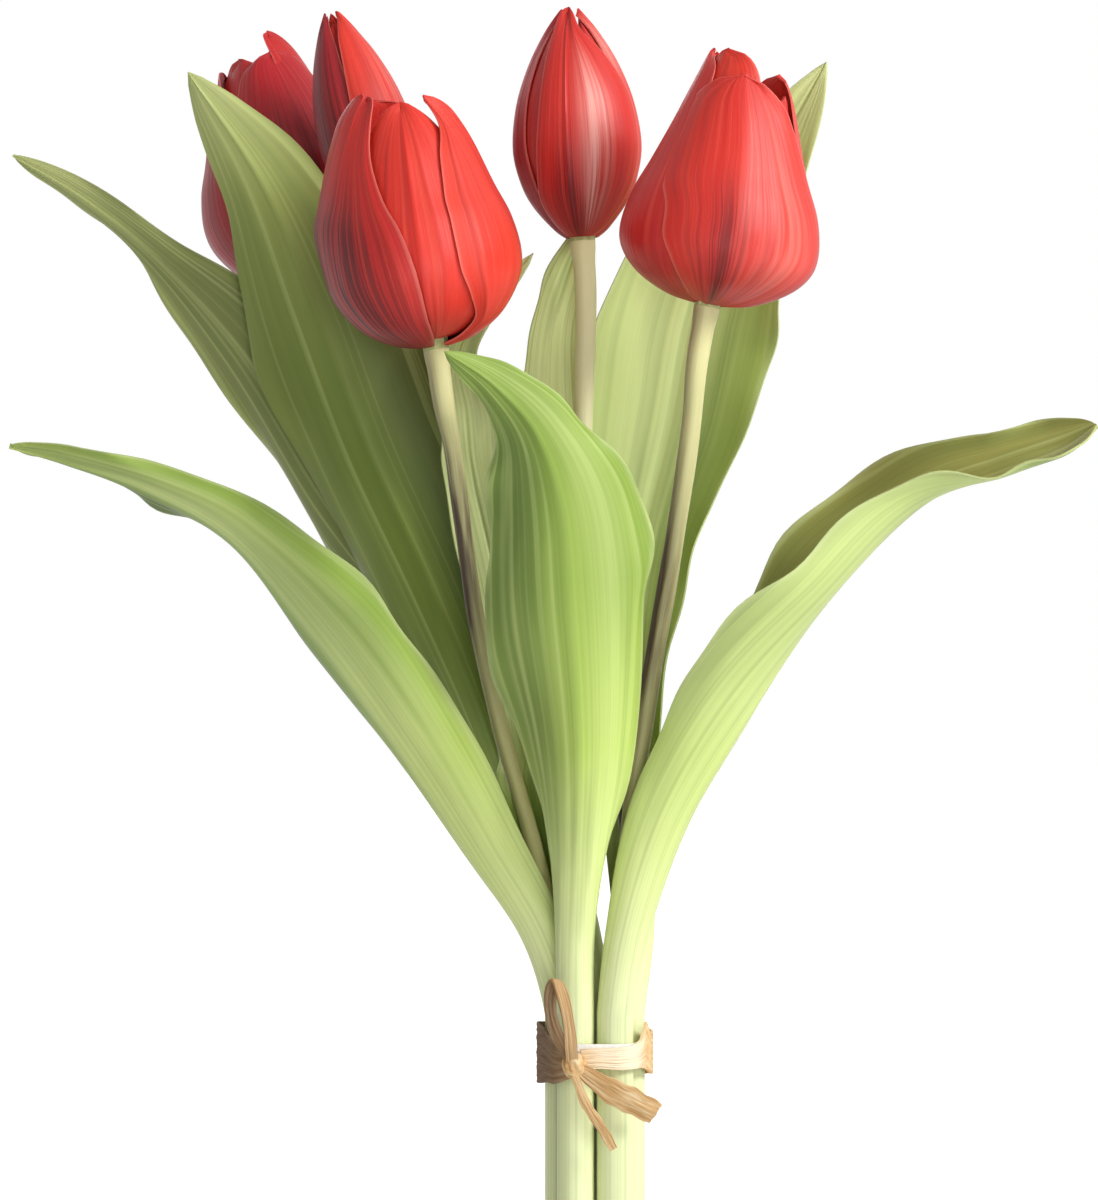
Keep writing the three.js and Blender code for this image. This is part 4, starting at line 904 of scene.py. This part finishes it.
def makePetal(name, kind, order, seed):
    node = f"{name}_{kind}_petal_{order}"
    look, tulip, inner = flowers[name], tulips[name], kind == "inner"
    head = heads[look["head"]]
    petal = {"left": head["edge"], "right": head["edge"], "tipStart": head["tipStart"], **usualPetal,
             **petals.get(node, {})}
    inset = flower["petalThickness"] + flower["whorlGap"] if inner else 0
    line = petalLine(head, inset, petal["reach"] * (head["innerReach"] if inner else 1))
    s = np.linspace(0, 1, flower["rows"] + 1)
    w = np.linspace(-1, 1, flower["columns"] + 1)[None]
    tip = np.clip((s - petal["tipStart"]) / (1 - petal["tipStart"]), 0, 1)
    rounding = np.maximum(1 - tip ** 2, 1e-5) ** head["tipPower"]
    left, right = [evenCurve(np.array(petal[side])[:, None], s) * rounding[:, None]
                   for side in ("left", "right")]
    point, outward = line(s)
    s = s[:, None]
    facing = look["turn"] - 90 + (60 if inner else 0) + 120 * (order - 1)
    bend = np.clip((s - flower["bend"][0]) / flower["bend"][1], 0, 1) ** 2
    angle = np.radians(facing + np.where(w < 0, left, right) * w + petal["tipTurn"] * bend)

    # how far the sheet stands out: swell, crease, laps, folds and tip
    high, waves, shift = flower["swell"]
    deep, width = flower["crease"]
    rise = smooth(*flower["swellStart"], s) * (1 - flower["swellLoss"] * s)
    offset = rise * (high * np.sin(waves * w + shift * seed) - deep * np.exp(-(w / width) ** 2))
    if inner:
        offset = offset * flower["innerSwell"]
    else:
        lap = np.where(w < 0, *petal["laps"])
        offset = offset + lap * smooth(*flower["lapBand"], np.abs(w)) * smooth(*flower["lapStart"], s)
    before, after = flower["foldEnds"]
    for place, width, high, low, top in petal["folds"]:
        offset = offset + (high * smooth(low, low + before, s) * (1 - smooth(top - after, top, s))
                           * np.exp(-np.abs((w - place) / width) ** flower["foldPower"]))
    offset = offset + petal["tipOut"] * bend
    high, waves, shift = flower["lump"]
    lump = (high * smooth(*flower["lumpStart"], s) * np.sin(waves * w + shift * seed)
            + petal["tipUp"] * smooth(*flower["tipRise"], s))
    thin = flower["petalThickness"] + (flower["marginThickness"] - flower["petalThickness"]) * np.abs(w) ** 4
    thick = thin * (1 - flower["tipThinner"] * smooth(*flower["tipThin"], s)) / 2
    turn = np.array(Vector((0, 0, 1)).rotation_difference(Vector(tulip["lean"])).to_matrix())
    base = stalkPlace(tulip["place"]) + tulip["flower"]
    grids = []
    for sign in (1, -1):
        radius = point[:, :1] + outward[:, :1] * (offset + sign * thick)
        height = point[:, 1:] + outward[:, 1:] * (offset + sign * thick) + lump
        local = np.stack([radius * np.cos(angle), radius * np.sin(angle), height], -1)
        grids.append(local @ turn.T + base)

    # the rim mark paints a highlight along both edges
    marks = {"across": w, "along": s, "warm": petal["warm"], "rim": smooth(*flower["rimBand"], np.abs(w))}
    (beforeStart, afterStart), (beforeEnd, afterEnd) = flower["markStart"], flower["markEnd"]
    # maroon parts, partly painted shade, and painted highlight patches, each limited across and along
    for mark in ("stain", "pale"):
        place, width, strength, low, high = petal[mark]
        marks[mark] = (strength * np.exp(-((w - place) / width) ** 2)
                       * smooth(low - beforeStart, low + afterStart, s)
                       * (1 - smooth(high - beforeEnd, high + afterEnd, s)))
    marks["stain"] = marks["stain"] + petal["foot"] * (1 - smooth(*flower["footBand"], s))
    ribbedSheet(node, "_skin", (name + "_head", "petal", petalSkin), grids, marks, flower,
                flower["halfWidth"] / flower["ribSpacing"], seed)


seed = 0
for name in flowers:
    for kind in ("outer", "inner"):
        for order in (1, 2, 3):
            seed += 1
            makePetal(name, kind, order, seed * 1.37)
print("flowers ready")

# Tie: one turn of raffia over an elastic band, with a knot, a loop and two tails. The band's edges
# are (share of the turn, lower, upper, darker), its wavers (waves, shift) for the lower and upper edge;
# strips run from the knot (place, inner side, half width)
tie = {"height": 128, "seatGap": 0.3, "elasticThickness": 0.8, "thickness": 0.6, "knotAngle": -109, "opening": 4,
       "steps": 240, "columns": 36, "facet": 4, "leastFacing": 0.3, "waver": 0.25, "wavers": ((37, 0), (29, 2)),
       "lengths": 4, "halfWidth": 7.5, "ribSpacing": 0.9, "ribHeight": 0.8, "ribLength": 1.5, "ribFade": 0.05,
       "edges": [(0, -2.6, 2.6, -0.3), (0.06, -2.2, 3.2, -0.8), (0.15, -2, 3.6, -0.8), (0.2, -2.4, 4.6, -0.5),
                 (0.245, -3, 9, 0), (0.29, -4, 6, 0.1), (0.5, -7, 7.2, 0.2), (0.68, -7.2, 8, 0.5),
                 (0.76, -6.6, 8.6, 0.85), (0.86, -6.4, 7, 0.85), (0.94, -6, 4.8, 0.75), (1, -4, 3, 0.5)]}
places = [stalkPlace(place) for place in range(stalk["count"])]


def bandRadius(angles, clear):
    # a taut line round the stalks, this far out from them
    normals, least = np.radians(np.arange(0, 360, tie["facet"])), tie["leastFacing"]
    reaches = np.max([place[0] * np.cos(normals) + place[1] * np.sin(normals) for place in places], axis=0)
    reaches = reaches + stalkRadius + clear
    facing = np.cos(angles[:, None] - normals[None])
    return np.min(np.where(facing > least, reaches[None] / np.maximum(facing, least), np.inf), axis=1)


raffia = ("tie", "raffia", raffiaFibre)


def makeBand(seed):
    share = np.linspace(0, 1, tie["steps"])
    opening = math.radians(tie["opening"])
    angle = math.radians(tie["knotAngle"]) + opening + share * (2 * math.pi - 2 * opening)
    clear = 2 * tie["seatGap"] + tie["elasticThickness"]
    places, *edges, darker = np.array(tie["edges"]).T
    low, high = [np.interp(share, places, edge) + tie["waver"] * np.sin(share * waves + shift)
                 for edge, (waves, shift) in zip(edges, tie["wavers"])]
    w = np.linspace(-1, 1, tie["columns"] + 1)
    height = tie["height"] + low[:, None] + (high - low)[:, None] * (w[None] + 1) / 2
    grids = []
    for extra in (tie["thickness"], 0):
        radius = bandRadius(angle, clear + extra)
        flat = [np.broadcast_to((radius * part(angle))[:, None], height.shape) for part in (np.cos, np.sin)]
        grids.append(np.stack([*flat, height], -1))
    marks = {"across": w[None], "along": share[:, None] * tie["lengths"],
             "shade": np.interp(share, places, darker)[:, None], "seed": 2}
    ribbedSheet("raffia_band", "_strip", raffia, grids, marks, tie, tie["halfWidth"] / tie["ribSpacing"], seed)


# The knot: a flattened roll with the strip's pleats wound round it, lumps as (share, turns, twist)
knot = {"size": (7, 5, 6.5), "drop": 1, "press": 0.8, "sides": 72, "rows": 33, "flatness": 2.6, "tilt": 24,
        "lumps": ((0.07, 5, 2.5), (0.05, 11, -3)), "lumpRoom": 1.12, "shrink": 0.95, "heart": (0.02, 0.02, 0.6),
        "shade": (0.1, 0.6), "ribCount": 7, "ribHeight": 0.5, "ribLength": 1, "ribFade": 0.05}
knotAngle = math.radians(tie["knotAngle"])
knotFacing = np.array([math.cos(knotAngle), math.sin(knotAngle), 0])
knotClear = 3 * tie["seatGap"] + tie["elasticThickness"] + tie["thickness"]
knotDistance = bandRadius(np.array([knotAngle]), knotClear)[0] + knot["size"][1] / 2
knotPlace = knotDistance * knotFacing + (0, 0, tie["height"] - knot["drop"])


def makeKnot(seed):
    turn = np.linspace(0, 2 * math.pi, knot["sides"], endpoint=False)[:, None]
    up = np.linspace(-1, 1, knot["rows"])[None]
    wide, deep, high = np.array(knot["size"]) / 2
    bulge = np.maximum(1 - np.abs(up) ** knot["flatness"], 1e-5) ** 0.5
    lumps = sum((share * np.sin(turns * turn + twist * up) for share, turns, twist in knot["lumps"]), 1)
    ring = bulge * lumps / knot["lumpRoom"]
    x, y, z = wide * np.cos(turn) * ring, deep * np.sin(turn) * ring, high * up * np.ones_like(turn)
    tilt = math.radians(knot["tilt"])
    x, z = x * math.cos(tilt) - z * math.sin(tilt), x * math.sin(tilt) + z * math.cos(tilt)
    local = np.stack([x * knot["shrink"], y, z * knot["shrink"]], -1)
    facing = knotAngle + math.pi / 2
    cosine, sine = math.cos(facing), math.sin(facing)
    spin = np.array([[cosine, -sine, 0], [sine, cosine, 0], [0, 0, 1]])
    pressed = knotPlace - knot["press"] * knotFacing
    skin = local @ spin.T + pressed
    heart = (local * knot["heart"]) @ spin.T + pressed
    marks = {"across": np.abs(turn / math.pi - 1), "along": (up + 1) / 2, "shade": knot["shade"]}
    ribbedSheet("raffia_knot", "_roll", raffia, (skin, heart), marks, knot, knot["ribCount"], seed, looped=True)


stripLook = {"rows": 61, "columns": 25, "uneven": 0.06, "lumps": 23, "cup": 0.12}
strips = {
    "raffia_loop": {"shade": (0.65, 0.36), "line": [
        ((-0.9, 0.4, 1.4), (0, -1, 0), 1.2), ((-4.8, 0.5, 9.5), (0.5, -1, 0), 1.6),
        ((-5.8, 0.2, 16.5), (0.6, -0.9, -0.1), 1.7), ((-4.4, -1.2, 21.3), (0.1, -0.2, -1), 1.7),
        ((-2.4, -2.6, 17), (-0.5, 1, -0.2), 1.5), ((-0.9, -3.1, 9.5), (-0.4, 1, 0.1), 1.5),
        ((-0.2, -1, 1.2), (0, 1, 0.2), 1.4)]},
    "raffia_broad_tail": {"shade": (0.15, 0.16), "line": [
        ((1.6, -0.3, -0.9), (0, 1, 0.1), 1.5), ((9, -1.8, -5.9), (0.1, 1, 0.2), 3.1),
        ((14.6, -1.7, -8.8), (0.1, 1, 0.3), 3.4), ((20.4, 0.3, -12), (0.1, 1, 0.3), 3)]},
    "raffia_narrow_tail": {"shade": (0.2, 0.1), "line": [
        ((0.2, -0.4, -1.6), (0, 1, 0), 0.9), ((3, -1.8, -9), (0.1, 1, 0), 1.2),
        ((6.6, -1.6, -14.6), (0.3, 1, 0), 1.2), ((10, -1.2, -20.5), (0.2, 1, 0), 1)]},
}


def makeStrip(name, strip, seed):
    table = np.array([(*at, *unit(face), half) for at, face, half in strip["line"]])
    t = np.linspace(0, 1, stripLook["rows"])
    values, tangent, inward = alongStations(table, t)
    across, inward = np.cross(tangent, inward)[:, None], inward[:, None]
    w = np.linspace(-1, 1, stripLook["columns"])
    half = (values[:, 6] * (1 + stripLook["uneven"] * np.sin(t * stripLook["lumps"] + seed)))[:, None]
    cup = stripLook["cup"] * half * w[None] ** 2
    centre = values[:, None, :3] + knotPlace + across * (half * w[None])[..., None] + inward * cup[..., None]
    shift = inward * tie["thickness"] / 2
    marks = {"across": w[None], "along": t[:, None], "shade": strip["shade"]}
    ribbedSheet(name, "_strip", raffia, (centre + shift, centre - shift), marks, tie,
                table[:, 6].max() / tie["ribSpacing"], seed)


makeBand(4)
for order, (name, strip) in enumerate(strips.items()):
    makeStrip(name, strip, 5 + order)
makeKnot(9)
print("tie ready")

# Solids that keep their shape get their finishes
for node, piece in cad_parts.items():
    for part, skin in smallSkins.items():
        if node.endswith("_" + part) or node.startswith(part + "_"):
            piece.data.materials.clear()
            piece.data.materials.append(skin)

print("pieces ready")
